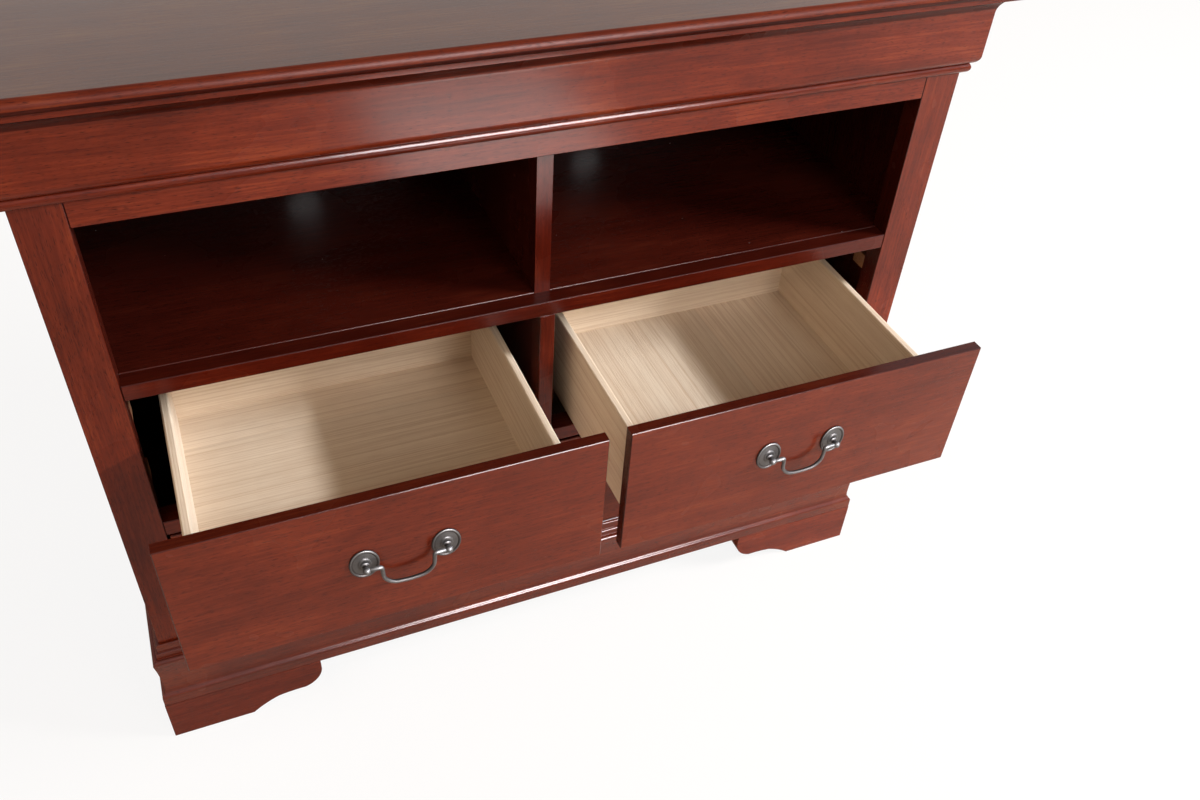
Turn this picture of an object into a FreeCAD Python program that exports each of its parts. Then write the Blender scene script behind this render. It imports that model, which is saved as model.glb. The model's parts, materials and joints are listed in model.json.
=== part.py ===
import FreeCAD, Part
import math
import os

# Tall media chest in the Louis-Philippe manner: two open compartments over four inset drawers.
#
# Millimetres. X runs to the right, Y from the front to the back and Z up from the floor.
# Every shape is drawn with y = 0 on the front of the face frame, and write() then moves it so
# that the origin lies on the floor below the middle of the chest's box.
# The two upper drawers stand open and the two lower ones are shut: that is the rest pose.

V = FreeCAD.Vector
ALONG_X = V(1, 0, 0)
ALONG_Y = V(0, 1, 0)
UP = V(0, 0, 1)
NOWHERE = V(0, 0, 0)

# Case and face frame
FRAME_HALF = 576.0
STILE_WIDTH = 52.3
FRAME_DEPTH = 30.0
CASE_DEPTH = 445.0
CASE_TOP = 1024.0
SIDE_THICK = 16.0
BACK_THICK = 4.0
BACK_REBATE = 9.0
BACK_TRIM = 6.0
JOINT_CHAMFER = 0.8
EDGE_CHAMFER = 1.0
CUTTER_MARGIN = 1.0
SAME_PLACE = 1e-6

UPPER_RAIL_BOTTOM = 878.4
SHELF_RAIL_TOP = 665.8
SHELF_RAIL_HEIGHT = 22.5
SHELF_RAIL_DEPTH = 23.4
MIDDLE_RAIL_TOP = 434.8
MIDDLE_RAIL_HEIGHT = 24.1
BOTTOM_RAIL_TOP = 202.0
BOTTOM_RAIL_HEIGHT = 24.0
CENTRE_STILE_WIDTH = 21.7

# Panels inside the case
SHELF_STEP = 1.5
SHELF_THICK = 18.0
SHELF_NOSE = 1.4
DIVIDER_HOUSING = 3.0
SUB_TOP_THICK = 16.0
BOTTOM_PANEL_THICK = 12.0
PARTITION_THICK = 16.0
REAR_RAIL_DEPTH = 36.0

# Cable holes in the back, one for each compartment
CABLE_HOLE_RADIUS = 25.0
CABLE_HOLE_X = 235.0
CABLE_HOLE_ABOVE_SHELF = 72.0

# Top board with a full bullnose
TOP_THICK = 17.0
TOP_OVERHANG = 47.0

# Feet under the base moulding
FOOT_HEIGHT = 79.0
FOOT_PROJECTION = 18.2
FOOT_THICK = 24.0
FRONT_FOOT_FLAT = 117.2
SIDE_FOOT_FLAT = 70.0
REAR_FOOT_WIDTH = 96.0
REAR_FOOT_SLOPE = 30.0

# Wood blocks glued into the corners
CORNER_BLOCK_DEPTH = 25.0
CORNER_BLOCK_HEIGHT = 23.0
CORNER_BLOCK_LEVELS = (587.0, 480.0, 355.0, 248.0)
FOOT_BLOCK = 38.0
FOOT_BLOCK_FLOOR_GAP = 9.0

# Wood screws
SCREW_SHANK = 1.75
SCREW_HEAD = 3.5
SCREW_HEAD_DEPTH = 2.2
BACK_SCREW_LENGTH = 24.0
BACK_SCREW_X = 565.0
BACK_SCREW_COUNT = 6
BACK_SCREW_END = 45.0
TOP_SCREW_LENGTH = 27.0
TOP_SCREW_X = (-480.0, 0.0, 480.0)
TOP_SCREW_INSET = 70.0

# Drawers: x is measured to the right drawer, and the left one is its mirror image
FRONT_NEAR = 14.2
FRONT_FAR = 520.4
FRONT_THICK = 15.0
FRONT_HEIGHT = 202.7
FRONT_ABOVE_RAIL = 2.3
FRONT_CHAMFER = 0.9
BOX_NEAR = 44.1
BOX_FAR = 492.4
BOX_BOARD = 11.0
BOX_BACK_END = 424.8
BOX_ABOVE_RAIL = 2.5
BOX_SIDE_HEIGHT = 140.6
BOX_TOP_ROUND = 2.6
BOTTOM_ABOVE_BOX = 15.5
BOTTOM_THICK = 5.0
GROOVE_DEPTH = 5.0
OPEN_BY = 243.0

# Wooden centre guides, their shoes and the nylon glides of the drawers
GUIDE_WIDTH = 30.0
GUIDE_HEIGHT = 13.2
GUIDE_START = 17.0
SHOE_WIDTH = 50.0
SHOE_LENGTH = 30.0
SHOE_FLOOR = 3.2
SHOE_SIDE_GAP = 0.4
GLIDE_HEIGHT = 2.2
GLIDE_RADIUS = 5.0
GLIDE_Y = 22.5

# Bail pulls
PULL_ABOVE_FRONT_BOTTOM = 103.9
PULL_HALF_SPACING = 48.0
PULL_INSET = 4.5
ROSETTE_HALF_WIDTH = 17.6
ROSETTE_HALF_HEIGHT = 22.2
ROSETTE_FACE = 3.3
PIVOT_STAND_OFF = 12.0
BALL_RADIUS = 4.6
POST_RADIUS = 3.0
BAIL_RADIUS = 2.4
PIVOT_CLEARANCE = 0.05
PIN_REACH = 1.5
PIN_END_GAP = 0.5
PULL_SCREW_RADIUS = 2.0
PULL_SCREW_HOLE = 2.25
PULL_SCREW_HEAD = 4.2
PULL_SCREW_HEAD_HEIGHT = 2.4
PULL_SCREW_SHOULDER = 3.4
PULL_SCREW_SHOULDER_HEIGHT = 1.8
PULL_SCREW_GRIP = 6.0

# Worked out from the sizes above
OPENING_HALF = FRAME_HALF - STILE_WIDTH
SIDE_INNER = FRAME_HALF - SIDE_THICK
BACK_FACE = CASE_DEPTH - BACK_THICK
SHELF_RAIL_BOTTOM = SHELF_RAIL_TOP - SHELF_RAIL_HEIGHT
SHELF_TOP = SHELF_RAIL_TOP + SHELF_STEP
SHELF_BOTTOM = SHELF_TOP - SHELF_THICK
MIDDLE_RAIL_BOTTOM = MIDDLE_RAIL_TOP - MIDDLE_RAIL_HEIGHT
CENTRE_HALF = CENTRE_STILE_WIDTH / 2
SUB_TOP_BOTTOM = CASE_TOP - SUB_TOP_THICK
TOP_SURFACE = CASE_TOP + TOP_THICK
BAY_CENTRE = (FRONT_NEAR + FRONT_FAR) / 2
PULL_CENTRE = BAY_CENTRE - PULL_INSET
RAIL_TOPS = {"upper": MIDDLE_RAIL_TOP, "lower": BOTTOM_RAIL_TOP}
OPENED = {"upper": OPEN_BY, "lower": 0.0}
FRONT_OF_ALL = -OPEN_BY - PIVOT_STAND_OFF - BALL_RADIUS
ORIGIN_Y = (CASE_DEPTH + FRONT_OF_ALL) / 2

# Moulding profiles as (projection, height) points. Four numbers are an arc: through, then to.
BASE_TOP = 201.6
BASE_PROFILE = [
    (0, FOOT_HEIGHT),
    (17.7, FOOT_HEIGHT),
    (17.7, 95.4),
    (17.0, 98.2, 15.0, 100.4),
    (12.9, 102.5, 11.9, 105.2),
    (11.5, 109.3, 11.3, 113.5),
    (12.0, 141.0, 15.0, 169.6),
    (14.3, 174.0, 10.6, 176.6),
    (8.3, 176.6),
    (8.3, 183.6),
    (7.5, 186.2, 5.2, 187.4),
    (4.6, 187.4),
    (4.6, 198.4),
    (4.1, 200.7, 2.6, BASE_TOP),
    (0, BASE_TOP),
]
BEAD_BOTTOM = 910.5
BEAD_TOP = 925.4
BEAD_STEP = 1.2
BEAD_REACH = 9.0
BEAD_PROFILE = [
    (0, BEAD_BOTTOM),
    (BEAD_STEP, BEAD_BOTTOM),
    (BEAD_REACH, (BEAD_BOTTOM + BEAD_TOP) / 2, BEAD_STEP, BEAD_TOP),
    (0, BEAD_TOP),
]
FRIEZE_FACE = 15.5
COVE_START = 994.0
COVE_RADIUS = 23.0
COVE_DIAGONAL = COVE_RADIUS * (1 - math.sqrt(0.5))
FRIEZE_PROFILE = [
    (0, BEAD_TOP),
    (9.2, BEAD_TOP),
    (13.9, 930.0, FRIEZE_FACE, 936.5),
    (FRIEZE_FACE, COVE_START),
    (
        FRIEZE_FACE + COVE_DIAGONAL,
        COVE_START + COVE_RADIUS - COVE_DIAGONAL,
        FRIEZE_FACE + COVE_RADIUS,
        COVE_START + COVE_RADIUS,
    ),
    (FRIEZE_FACE + COVE_RADIUS, CASE_TOP),
    (0, CASE_TOP),
]

# Lower edge of a bracket foot, counted from the end of its flat on the floor
FOOT_CURVE = [
    (18.0, 12.6, 41.0, 23.2),
    (61.5, 25.4, 82.0, 25.6),
    (102.0, 38.0, 111.0, 60.0),
    (111.0, FOOT_HEIGHT),
]

POST_COLLAR_RADIUS = 4.3
POST_COLLAR_END = 5.0
POST_TAPER_END = 6.2
POST_NECK_RADIUS = 2.9

# Rosette as (half width, distance from the drawer front), from its rim to its middle
ROSETTE_PROFILE = [
    (0, 0),
    (ROSETTE_HALF_WIDTH, 0),
    (ROSETTE_HALF_WIDTH, 0.9),
    (17.2, 2.1, 16.2, 2.3),
    (15.2, 2.1, 14.7, 1.3),
    (13.5, 1.2),
    (13.0, 2.0, 12.1, 2.1),
    (11.3, 2.0, 10.8, 1.4),
    (7.9, 2.1),
    (7.2, 3.1, 5.9, ROSETTE_FACE),
    (0, ROSETTE_FACE),
]

# Half of a bail as (distance from its middle, height over the pivot, bend radius)
BAIL_POINTS = [
    (30.9, 0.0, 3.2),
    (29.7, -20.5, 17.0),
    (19.4, -31.2, 19.0),
]
BAIL_DROP = 32.9
BAIL_MIDDLE_BEND = 90.0


def box(x0, x1, y0, y1, z0, z1):
    """A board between two corners."""
    return Part.makeBox(x1 - x0, y1 - y0, z1 - z0, V(x0, y0, z0))


def mirrored(shape):
    """The same piece on the other side of the middle plane."""
    return shape.mirror(NOWHERE, ALONG_X)


def group(shapes):
    """Separate solids that share one node."""
    return Part.makeCompound(shapes)


def edges_at(shape, x=None, y=None, z=None):
    """The straight edges whose two ends both have the coordinates that are given."""
    wanted = [(axis, value) for axis, value in enumerate((x, y, z)) if value is not None]
    found = []
    for edge in shape.Edges:
        ends = [vertex.Point for vertex in edge.Vertexes]
        misses = [abs(end[axis] - value) for end in ends for axis, value in wanted]
        if len(ends) == 2 and max(misses) < SAME_PLACE:
            found.append(edge)
    return found


def eased(shape, size, *places):
    """The shape with small chamfers on the edges at each place, such as {"y": 0, "z": 10}."""
    for place in places:
        shape = shape.makeChamfer(size, edges_at(shape, **place))
    return shape


def outline(steps, place):
    """A flat face from lines and arcs, where place turns two numbers into a point."""
    first = place(*steps[0])
    here = first
    edges = []
    for step in steps[1:]:
        there = place(*step[-2:])
        if len(step) == 2:
            edges.append(Part.makeLine(here, there))
        else:
            edges.append(Part.Arc(here, place(*step[:2]), there).toShape())
        here = there
    if not here.isEqual(first, SAME_PLACE):
        edges.append(Part.makeLine(here, first))
    return Part.Face(Part.Wire(edges))


def plan_prism(points, z0, z1):
    """An upright prism on a plan of straight lines."""
    corners = [V(x, y, z0) for x, y in points]
    face = Part.Face(Part.makePolygon(corners + corners[:1]))
    return face.extrude(V(0, 0, z1 - z0))


def turned(steps, x, y, z):
    """A piece turned round an axis along Y: radius and distance in front of y."""
    face = outline(steps, lambda radius, distance: V(x + radius, y - distance, z))
    return face.revolve(V(x, y, z), ALONG_Y, 360)


def front_moulding(profile, reach):
    """A moulding across the front, cut to 45 degree mitres at both corners."""
    left = -FRAME_HALF - reach
    length = 2 * (FRAME_HALF + reach)
    bar = outline(profile, lambda p, z: V(left, -p, z)).extrude(V(length, 0, 0))
    mitres = [(-FRAME_HALF, 0), (left, -reach), (-left, -reach), (FRAME_HALF, 0)]
    return bar.common(plan_prism(mitres, 0, TOP_SURFACE))


def side_moulding(profile, reach):
    """The right-hand return of that moulding, mitred at the front and square at the back."""
    outer = FRAME_HALF + reach
    bar = outline(profile, lambda p, z: V(FRAME_HALF + p, -reach, z))
    bar = bar.extrude(V(0, CASE_DEPTH + reach, 0))
    mitre = [(FRAME_HALF, 0), (outer, -reach), (outer, CASE_DEPTH), (FRAME_HALF, CASE_DEPTH)]
    return bar.common(plan_prism(mitre, 0, TOP_SURFACE))


def moulding_reach(profile):
    """How far a profile stands out from the frame, with a little over for the mitre's cutter."""
    return max(max(step[0], step[-2]) for step in profile) + CUTTER_MARGIN


def wood_screw(head, inward, length):
    """A countersunk screw whose head's face is at a point and which drives along inward."""
    cone = Part.makeCone(SCREW_HEAD, SCREW_SHANK, SCREW_HEAD_DEPTH, head, inward)
    shank = Part.makeCylinder(SCREW_SHANK, length, head, inward)
    return cone.fuse(shank).removeSplitter()


def back_screws():
    """Screws that hold the back panel in the rebates of the sides."""
    step = (CASE_TOP - FOOT_HEIGHT - 2 * BACK_SCREW_END) / (BACK_SCREW_COUNT - 1)
    heights = [FOOT_HEIGHT + BACK_SCREW_END + step * i for i in range(BACK_SCREW_COUNT)]
    places = [V(side * BACK_SCREW_X, CASE_DEPTH, z) for z in heights for side in (-1, 1)]
    return [wood_screw(place, V(0, -1, 0), BACK_SCREW_LENGTH) for place in places]


def top_screws():
    """Screws that go up through the sub-top into the top board."""
    rows = (FRAME_DEPTH + TOP_SCREW_INSET, BACK_FACE - TOP_SCREW_INSET)
    places = [V(x, y, SUB_TOP_BOTTOM) for x in TOP_SCREW_X for y in rows]
    return [wood_screw(place, UP, TOP_SCREW_LENGTH) for place in places]


def stile():
    """The right-hand stile of the face frame."""
    shape = box(OPENING_HALF, FRAME_HALF, 0, FRAME_DEPTH, FOOT_HEIGHT, CASE_TOP)
    return eased(shape, EDGE_CHAMFER, {"x": OPENING_HALF, "y": 0})


def rail(bottom, top, depth):
    """A rail between the stiles, eased on its long edges and at its ends."""
    shape = box(-OPENING_HALF, OPENING_HALF, 0, depth, bottom, top)
    shape = eased(shape, EDGE_CHAMFER, {"y": 0, "z": bottom}, {"y": 0, "z": top})
    return eased(shape, JOINT_CHAMFER, {"x": -OPENING_HALF, "y": 0}, {"x": OPENING_HALF, "y": 0})


def centre_stile(bottom, top):
    """The short stile between two drawers of a row."""
    shape = box(-CENTRE_HALF, CENTRE_HALF, 0, FRAME_DEPTH, bottom, top)
    return eased(shape, EDGE_CHAMFER, {"x": -CENTRE_HALF, "y": 0}, {"x": CENTRE_HALF, "y": 0})


def side_panel():
    """The right-hand side, rebated at the back for the back panel."""
    panel = box(SIDE_INNER, FRAME_HALF, FRAME_DEPTH, CASE_DEPTH, FOOT_HEIGHT, CASE_TOP)
    rebate_edge = SIDE_INNER + BACK_REBATE
    rebate = box(SIDE_INNER, rebate_edge, BACK_FACE, CASE_DEPTH, FOOT_HEIGHT, CASE_TOP)
    return panel.cut(rebate).cut(group(back_screws()))


def compartment_divider():
    """The upright between the compartments, housed in the shelf and notched round the upper rail."""
    foot = SHELF_TOP - DIVIDER_HOUSING
    panel = box(-CENTRE_HALF, CENTRE_HALF, SHELF_RAIL_DEPTH, BACK_FACE, foot, SUB_TOP_BOTTOM)
    notch = box(-CENTRE_HALF, CENTRE_HALF, SHELF_RAIL_DEPTH, FRAME_DEPTH, UPPER_RAIL_BOTTOM, CASE_TOP)
    return panel.cut(notch)


def shelf_panel():
    """The shelf, which stands a little over its rail and fits between the stiles in front."""
    panel = box(-SIDE_INNER, SIDE_INNER, SHELF_RAIL_DEPTH, BACK_FACE, SHELF_BOTTOM, SHELF_TOP)
    notch = box(OPENING_HALF, SIDE_INNER, SHELF_RAIL_DEPTH, FRAME_DEPTH, SHELF_BOTTOM, SHELF_TOP)
    panel = panel.cut(notch).cut(mirrored(notch))
    nose = edges_at(panel, y=SHELF_RAIL_DEPTH, z=SHELF_TOP)
    return panel.makeFillet(SHELF_NOSE, nose).cut(compartment_divider())


def rear_rail():
    """The cross rail at the back that carries the upper guides."""
    start = BACK_FACE - REAR_RAIL_DEPTH
    return box(-SIDE_INNER, SIDE_INNER, start, BACK_FACE, MIDDLE_RAIL_BOTTOM, MIDDLE_RAIL_TOP)


def centre_partition():
    """The upright between the drawers, notched over the rear rail."""
    half = PARTITION_THICK / 2
    panel = box(-half, half, FRAME_DEPTH, BACK_FACE, BOTTOM_RAIL_TOP, SHELF_BOTTOM)
    return panel.cut(rear_rail())


def back_panel():
    """The thin back with a cable hole behind each compartment."""
    half = SIDE_INNER + BACK_REBATE
    panel = box(-half, half, BACK_FACE, CASE_DEPTH, FOOT_HEIGHT + BACK_TRIM, CASE_TOP - BACK_TRIM)
    for x in (-CABLE_HOLE_X, CABLE_HOLE_X):
        centre = V(x, BACK_FACE, SHELF_TOP + CABLE_HOLE_ABOVE_SHELF)
        panel = panel.cut(Part.makeCylinder(CABLE_HOLE_RADIUS, BACK_THICK, centre, ALONG_Y))
    return panel.cut(group(back_screws()))


def top_board():
    """The top, with a full bullnose on its front and both ends."""
    radius = TOP_THICK / 2
    edge = FRAME_HALF + TOP_OVERHANG
    middle = CASE_TOP + radius
    long_way = outline(
        [
            (CASE_DEPTH, CASE_TOP),
            (-TOP_OVERHANG + radius, CASE_TOP),
            (-TOP_OVERHANG, middle, -TOP_OVERHANG + radius, TOP_SURFACE),
            (CASE_DEPTH, TOP_SURFACE),
        ],
        lambda y, z: V(-edge, y, z),
    ).extrude(V(2 * edge, 0, 0))
    short_way = outline(
        [
            (-edge + radius, CASE_TOP),
            (edge - radius, CASE_TOP),
            (edge, middle, edge - radius, TOP_SURFACE),
            (-edge + radius, TOP_SURFACE),
            (-edge, middle, -edge + radius, CASE_TOP),
        ],
        lambda x, z: V(x, -TOP_OVERHANG, z),
    ).extrude(V(0, CASE_DEPTH + TOP_OVERHANG, 0))
    return long_way.common(short_way).cut(group(top_screws()))


def foot_outline(flat):
    """A bracket foot's outline, counted from its outer corner along the floor."""
    steps = [(0, FOOT_HEIGHT), (0, 0), (flat, 0)]
    for step in FOOT_CURVE:
        steps.append(tuple(value + flat if i % 2 == 0 else value for i, value in enumerate(step)))
    return steps


def side_bracket(corner_y, towards):
    """The side board of a right-hand foot, drawn from its corner to the front or the back."""
    outer = FRAME_HALF + FOOT_PROJECTION
    board = outline(foot_outline(SIDE_FOOT_FLAT), lambda s, z: V(outer, corner_y + towards * s, z))
    return board.extrude(V(-FOOT_THICK, 0, 0))


def front_foot():
    """The right-hand front foot: a front bracket and a side bracket, mitred together."""
    outer = FRAME_HALF + FOOT_PROJECTION
    inner = outer - FOOT_THICK
    back = FOOT_THICK - FOOT_PROJECTION
    face = outline(foot_outline(FRONT_FOOT_FLAT), lambda s, z: V(outer - s, -FOOT_PROJECTION, z))
    face = face.extrude(V(0, FOOT_THICK, 0))
    side = side_bracket(-FOOT_PROJECTION, 1)
    mitre = [(outer, -FOOT_PROJECTION), (inner, back)]
    behind = plan_prism(mitre + [(outer, back)], 0, FOOT_HEIGHT)
    in_front = plan_prism(mitre + [(inner, -FOOT_PROJECTION)], 0, FOOT_HEIGHT)
    return group([face.cut(behind), side.cut(in_front)])


def rear_foot():
    """The right-hand rear foot: a side bracket and a plain board behind it."""
    inner = FRAME_HALF + FOOT_PROJECTION - FOOT_THICK
    plain = outline(
        [
            (inner, 0),
            (inner, FOOT_HEIGHT),
            (inner - REAR_FOOT_WIDTH, FOOT_HEIGHT),
            (inner - REAR_FOOT_WIDTH + REAR_FOOT_SLOPE, 0),
        ],
        lambda x, z: V(x, CASE_DEPTH - FOOT_THICK, z),
    ).extrude(V(0, FOOT_THICK, 0))
    return group([side_bracket(CASE_DEPTH, -1), plain])


def glue_blocks():
    """Blocks behind both stiles and inside all four feet."""
    blocks = []
    for z in CORNER_BLOCK_LEVELS:
        depth_end = FRAME_DEPTH + CORNER_BLOCK_DEPTH
        blocks.append(box(OPENING_HALF, SIDE_INNER, FRAME_DEPTH, depth_end, z, z + CORNER_BLOCK_HEIGHT))
    outer = FRAME_HALF + FOOT_PROJECTION - FOOT_THICK
    front = FOOT_THICK - FOOT_PROJECTION
    rear = CASE_DEPTH - FOOT_THICK - FOOT_BLOCK
    inner = outer - FOOT_BLOCK
    for start in (front, rear):
        end = start + FOOT_BLOCK
        blocks.append(box(inner, outer, start, end, FOOT_BLOCK_FLOOR_GAP, FOOT_HEIGHT))
    return group(blocks + [mirrored(block) for block in blocks])


def guide_rails():
    """The centre guide of each drawer, lying on the front rail and the rear rail or bottom panel."""
    near = BAY_CENTRE - GUIDE_WIDTH / 2
    far = BAY_CENTRE + GUIDE_WIDTH / 2
    rails = []
    for top in RAIL_TOPS.values():
        guide = box(near, far, GUIDE_START, BACK_FACE, top, top + GUIDE_HEIGHT)
        rails += [guide, mirrored(guide)]
    return group(rails)


def drawer_glides():
    """Nylon tacks on the front rails, under both sides of each drawer."""
    glides = []
    for top in RAIL_TOPS.values():
        for x in (BOX_NEAR + BOX_BOARD / 2, BOX_FAR - BOX_BOARD / 2):
            glide = Part.makeCylinder(GLIDE_RADIUS, GLIDE_HEIGHT, V(x, GLIDE_Y, top))
            glides += [glide, mirrored(glide)]
    return group(glides)


def drawer_bottom(rail_top):
    """The drawer's bottom board, let into the grooves of the front and the sides."""
    z = rail_top + BOX_ABOVE_RAIL + BOTTOM_ABOVE_BOX
    near = BOX_NEAR + BOX_BOARD - GROOVE_DEPTH
    far = BOX_FAR - BOX_BOARD + GROOVE_DEPTH
    return box(near, far, FRONT_THICK - GROOVE_DEPTH, BOX_BACK_END, z, z + BOTTOM_THICK)


def pull_centres(rail_top):
    """The two places on a drawer front where its pull is screwed on."""
    z = rail_top + FRONT_ABOVE_RAIL + PULL_ABOVE_FRONT_BOTTOM
    return [V(PULL_CENTRE + side * PULL_HALF_SPACING, 0, z) for side in (-1, 1)]


def drawer_front(rail_top):
    """The drawer front with the holes of its pull."""
    z = rail_top + FRONT_ABOVE_RAIL
    top = z + FRONT_HEIGHT
    shape = box(FRONT_NEAR, FRONT_FAR, 0, FRONT_THICK, z, top)
    shape = eased(shape, FRONT_CHAMFER, {"x": FRONT_NEAR, "y": 0}, {"x": FRONT_FAR, "y": 0})
    shape = eased(shape, FRONT_CHAMFER, {"y": 0, "z": z}, {"y": 0, "z": top})
    for centre in pull_centres(rail_top):
        shape = shape.cut(Part.makeCylinder(PULL_SCREW_HOLE, FRONT_THICK, centre, ALONG_Y))
    return shape.cut(drawer_bottom(rail_top))


def drawer_sides(rail_top):
    """Both sides of the drawer box, rounded on top and grooved for the bottom."""
    z = rail_top + BOX_ABOVE_RAIL
    top = z + BOX_SIDE_HEIGHT
    sides = []
    for near in (BOX_NEAR, BOX_FAR - BOX_BOARD):
        side = box(near, near + BOX_BOARD, FRONT_THICK, BOX_BACK_END, z, top)
        long_edges = edges_at(side, x=near, z=top) + edges_at(side, x=near + BOX_BOARD, z=top)
        sides.append(side.makeFillet(BOX_TOP_ROUND, long_edges).cut(drawer_bottom(rail_top)))
    return group(sides)


def drawer_back(rail_top):
    """The back of the drawer box, which stands on the bottom board between the sides."""
    z = rail_top + BOX_ABOVE_RAIL
    floor = z + BOTTOM_ABOVE_BOX + BOTTOM_THICK
    start = BOX_BACK_END - BOX_BOARD
    top = z + BOX_SIDE_HEIGHT
    shape = box(BOX_NEAR + BOX_BOARD, BOX_FAR - BOX_BOARD, start, BOX_BACK_END, floor, top)
    long_edges = edges_at(shape, y=start, z=top) + edges_at(shape, y=BOX_BACK_END, z=top)
    return shape.makeFillet(BOX_TOP_ROUND, long_edges)


def guide_shoe(rail_top):
    """The shoe under the back of a drawer that straddles its centre guide."""
    half = SHOE_WIDTH / 2
    slot = GUIDE_WIDTH / 2 + SHOE_SIDE_GAP
    under = rail_top + BOX_ABOVE_RAIL + BOTTOM_ABOVE_BOX
    foot = rail_top + SHOE_FLOOR
    start = BOX_BACK_END - SHOE_LENGTH
    block = box(BAY_CENTRE - half, BAY_CENTRE + half, start, BOX_BACK_END, foot, under)
    clear = rail_top + GUIDE_HEIGHT + SHOE_SIDE_GAP
    return block.cut(box(BAY_CENTRE - slot, BAY_CENTRE + slot, start, BOX_BACK_END, foot, clear))


def pull_screw(centre):
    """The machine screw of a pull, with its head inside the drawer."""
    seat = centre + V(0, FRONT_THICK, 0)
    shank_length = FRONT_THICK + PULL_SCREW_GRIP
    shank = Part.makeCylinder(PULL_SCREW_RADIUS, shank_length, seat, V(0, -1, 0))
    dome = turned(
        [
            (0, -PULL_SCREW_HEAD_HEIGHT),
            (PULL_SCREW_SHOULDER, -PULL_SCREW_SHOULDER_HEIGHT, PULL_SCREW_HEAD, 0),
            (0, 0),
        ],
        *seat,
    )
    return shank.fuse(dome).removeSplitter()


def rosette(centre):
    """An oval rosette: turned as wide as it is, stretched to its height and bored for its post."""
    plate = turned(ROSETTE_PROFILE, 0, 0, 0)
    stretch = FreeCAD.Matrix()
    stretch.scale(1, 1, ROSETTE_HALF_HEIGHT / ROSETTE_HALF_WIDTH)
    oval = plate.transformGeometry(stretch)
    oval.translate(centre)
    return oval.cut(Part.makeCylinder(POST_RADIUS, ROSETTE_FACE, centre, V(0, -1, 0)))


def pull_post(centre, inner_side):
    """A post that ends in a ball, bored from its inner side for the bail's end."""
    neck_end = PIVOT_STAND_OFF - math.sqrt(BALL_RADIUS**2 - POST_NECK_RADIUS**2)
    stem = turned(
        [
            (0, 0),
            (POST_RADIUS, 0),
            (POST_RADIUS, ROSETTE_FACE),
            (POST_COLLAR_RADIUS, ROSETTE_FACE),
            (POST_COLLAR_RADIUS, POST_COLLAR_END),
            (POST_NECK_RADIUS, POST_TAPER_END),
            (POST_NECK_RADIUS, neck_end),
            (BALL_RADIUS, PIVOT_STAND_OFF, 0, PIVOT_STAND_OFF + BALL_RADIUS),
        ],
        *centre,
    )
    pivot = centre - V(0, PIVOT_STAND_OFF, 0)
    start = pivot - inner_side * (PIN_REACH + PIN_END_GAP)
    bore = Part.makeCylinder(BAIL_RADIUS + PIVOT_CLEARANCE, 2 * BALL_RADIUS, start, inner_side)
    return stem.cut(bore).cut(pull_screw(centre))


def pull_mounts(rail_top):
    """Rosettes, posts and screws of one pull."""
    pieces = []
    for side, centre in zip((-1, 1), pull_centres(rail_top)):
        pieces.append(rosette(centre))
        pieces.append(pull_post(centre, ALONG_X * -side))
        pieces.append(pull_screw(centre))
    return group(pieces)


def rounded_path(points):
    """A wire of straight runs and tangent arcs through (point, bend radius) corners."""
    edges = []
    here = points[0][0]
    for (_, _), (corner, radius), (ahead, _) in zip(points, points[1:], points[2:]):
        into = (corner - here).normalize()
        out = (ahead - corner).normalize()
        half_turn = into.getAngle(out) / 2
        cut = radius * math.tan(half_turn)
        start = corner - into * cut
        end = corner + out * cut
        inwards = (out - into).normalize()
        middle = corner + inwards * (radius / math.cos(half_turn) - radius)
        edges.append(Part.makeLine(here, start))
        edges.append(Part.Arc(start, middle, end).toShape())
        here = end
    edges.append(Part.makeLine(here, points[-1][0]))
    return Part.Wire(edges)


def bail(rail_top):
    """The bail of one pull, hanging from the balls of its posts."""
    left, right = pull_centres(rail_top)
    middle = (left + right) / 2 - V(0, PIVOT_STAND_OFF, 0)
    pin_end = PULL_HALF_SPACING + PIN_REACH
    half = [(pin_end, 0.0, 0.0)] + BAIL_POINTS
    right_half = [(middle + V(x, 0, z), radius) for x, z, radius in half]
    left_half = [(middle + V(-x, 0, z), radius) for x, z, radius in reversed(half)]
    bottom = [(middle - V(0, 0, BAIL_DROP), BAIL_MIDDLE_BEND)]
    path = rounded_path(right_half + bottom + left_half)
    start = right_half[0][0]
    section = Part.Wire(Part.makeCircle(BAIL_RADIUS, start, ALONG_X))
    return path.makePipeShell([section], True, False)


def drawer_pieces(rail_top):
    """The pieces of one right-hand drawer, shut."""
    return {
        "drawer_front": drawer_front(rail_top),
        "drawer_sides": drawer_sides(rail_top),
        "drawer_back": drawer_back(rail_top),
        "drawer_bottom": drawer_bottom(rail_top),
        "guide_shoe": guide_shoe(rail_top),
        "pull_mounts": pull_mounts(rail_top),
        "bail": bail(rail_top),
    }


def drawers():
    """All four drawers in the rest pose, with the upper row open."""
    pieces = {}
    for row, rail_top in RAIL_TOPS.items():
        for name, shape in drawer_pieces(rail_top).items():
            shape.translate(V(0, -OPENED[row], 0))
            pieces[f"{row}_right_{name}"] = shape
            pieces[f"{row}_left_{name}"] = mirrored(shape)
    return pieces


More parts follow.
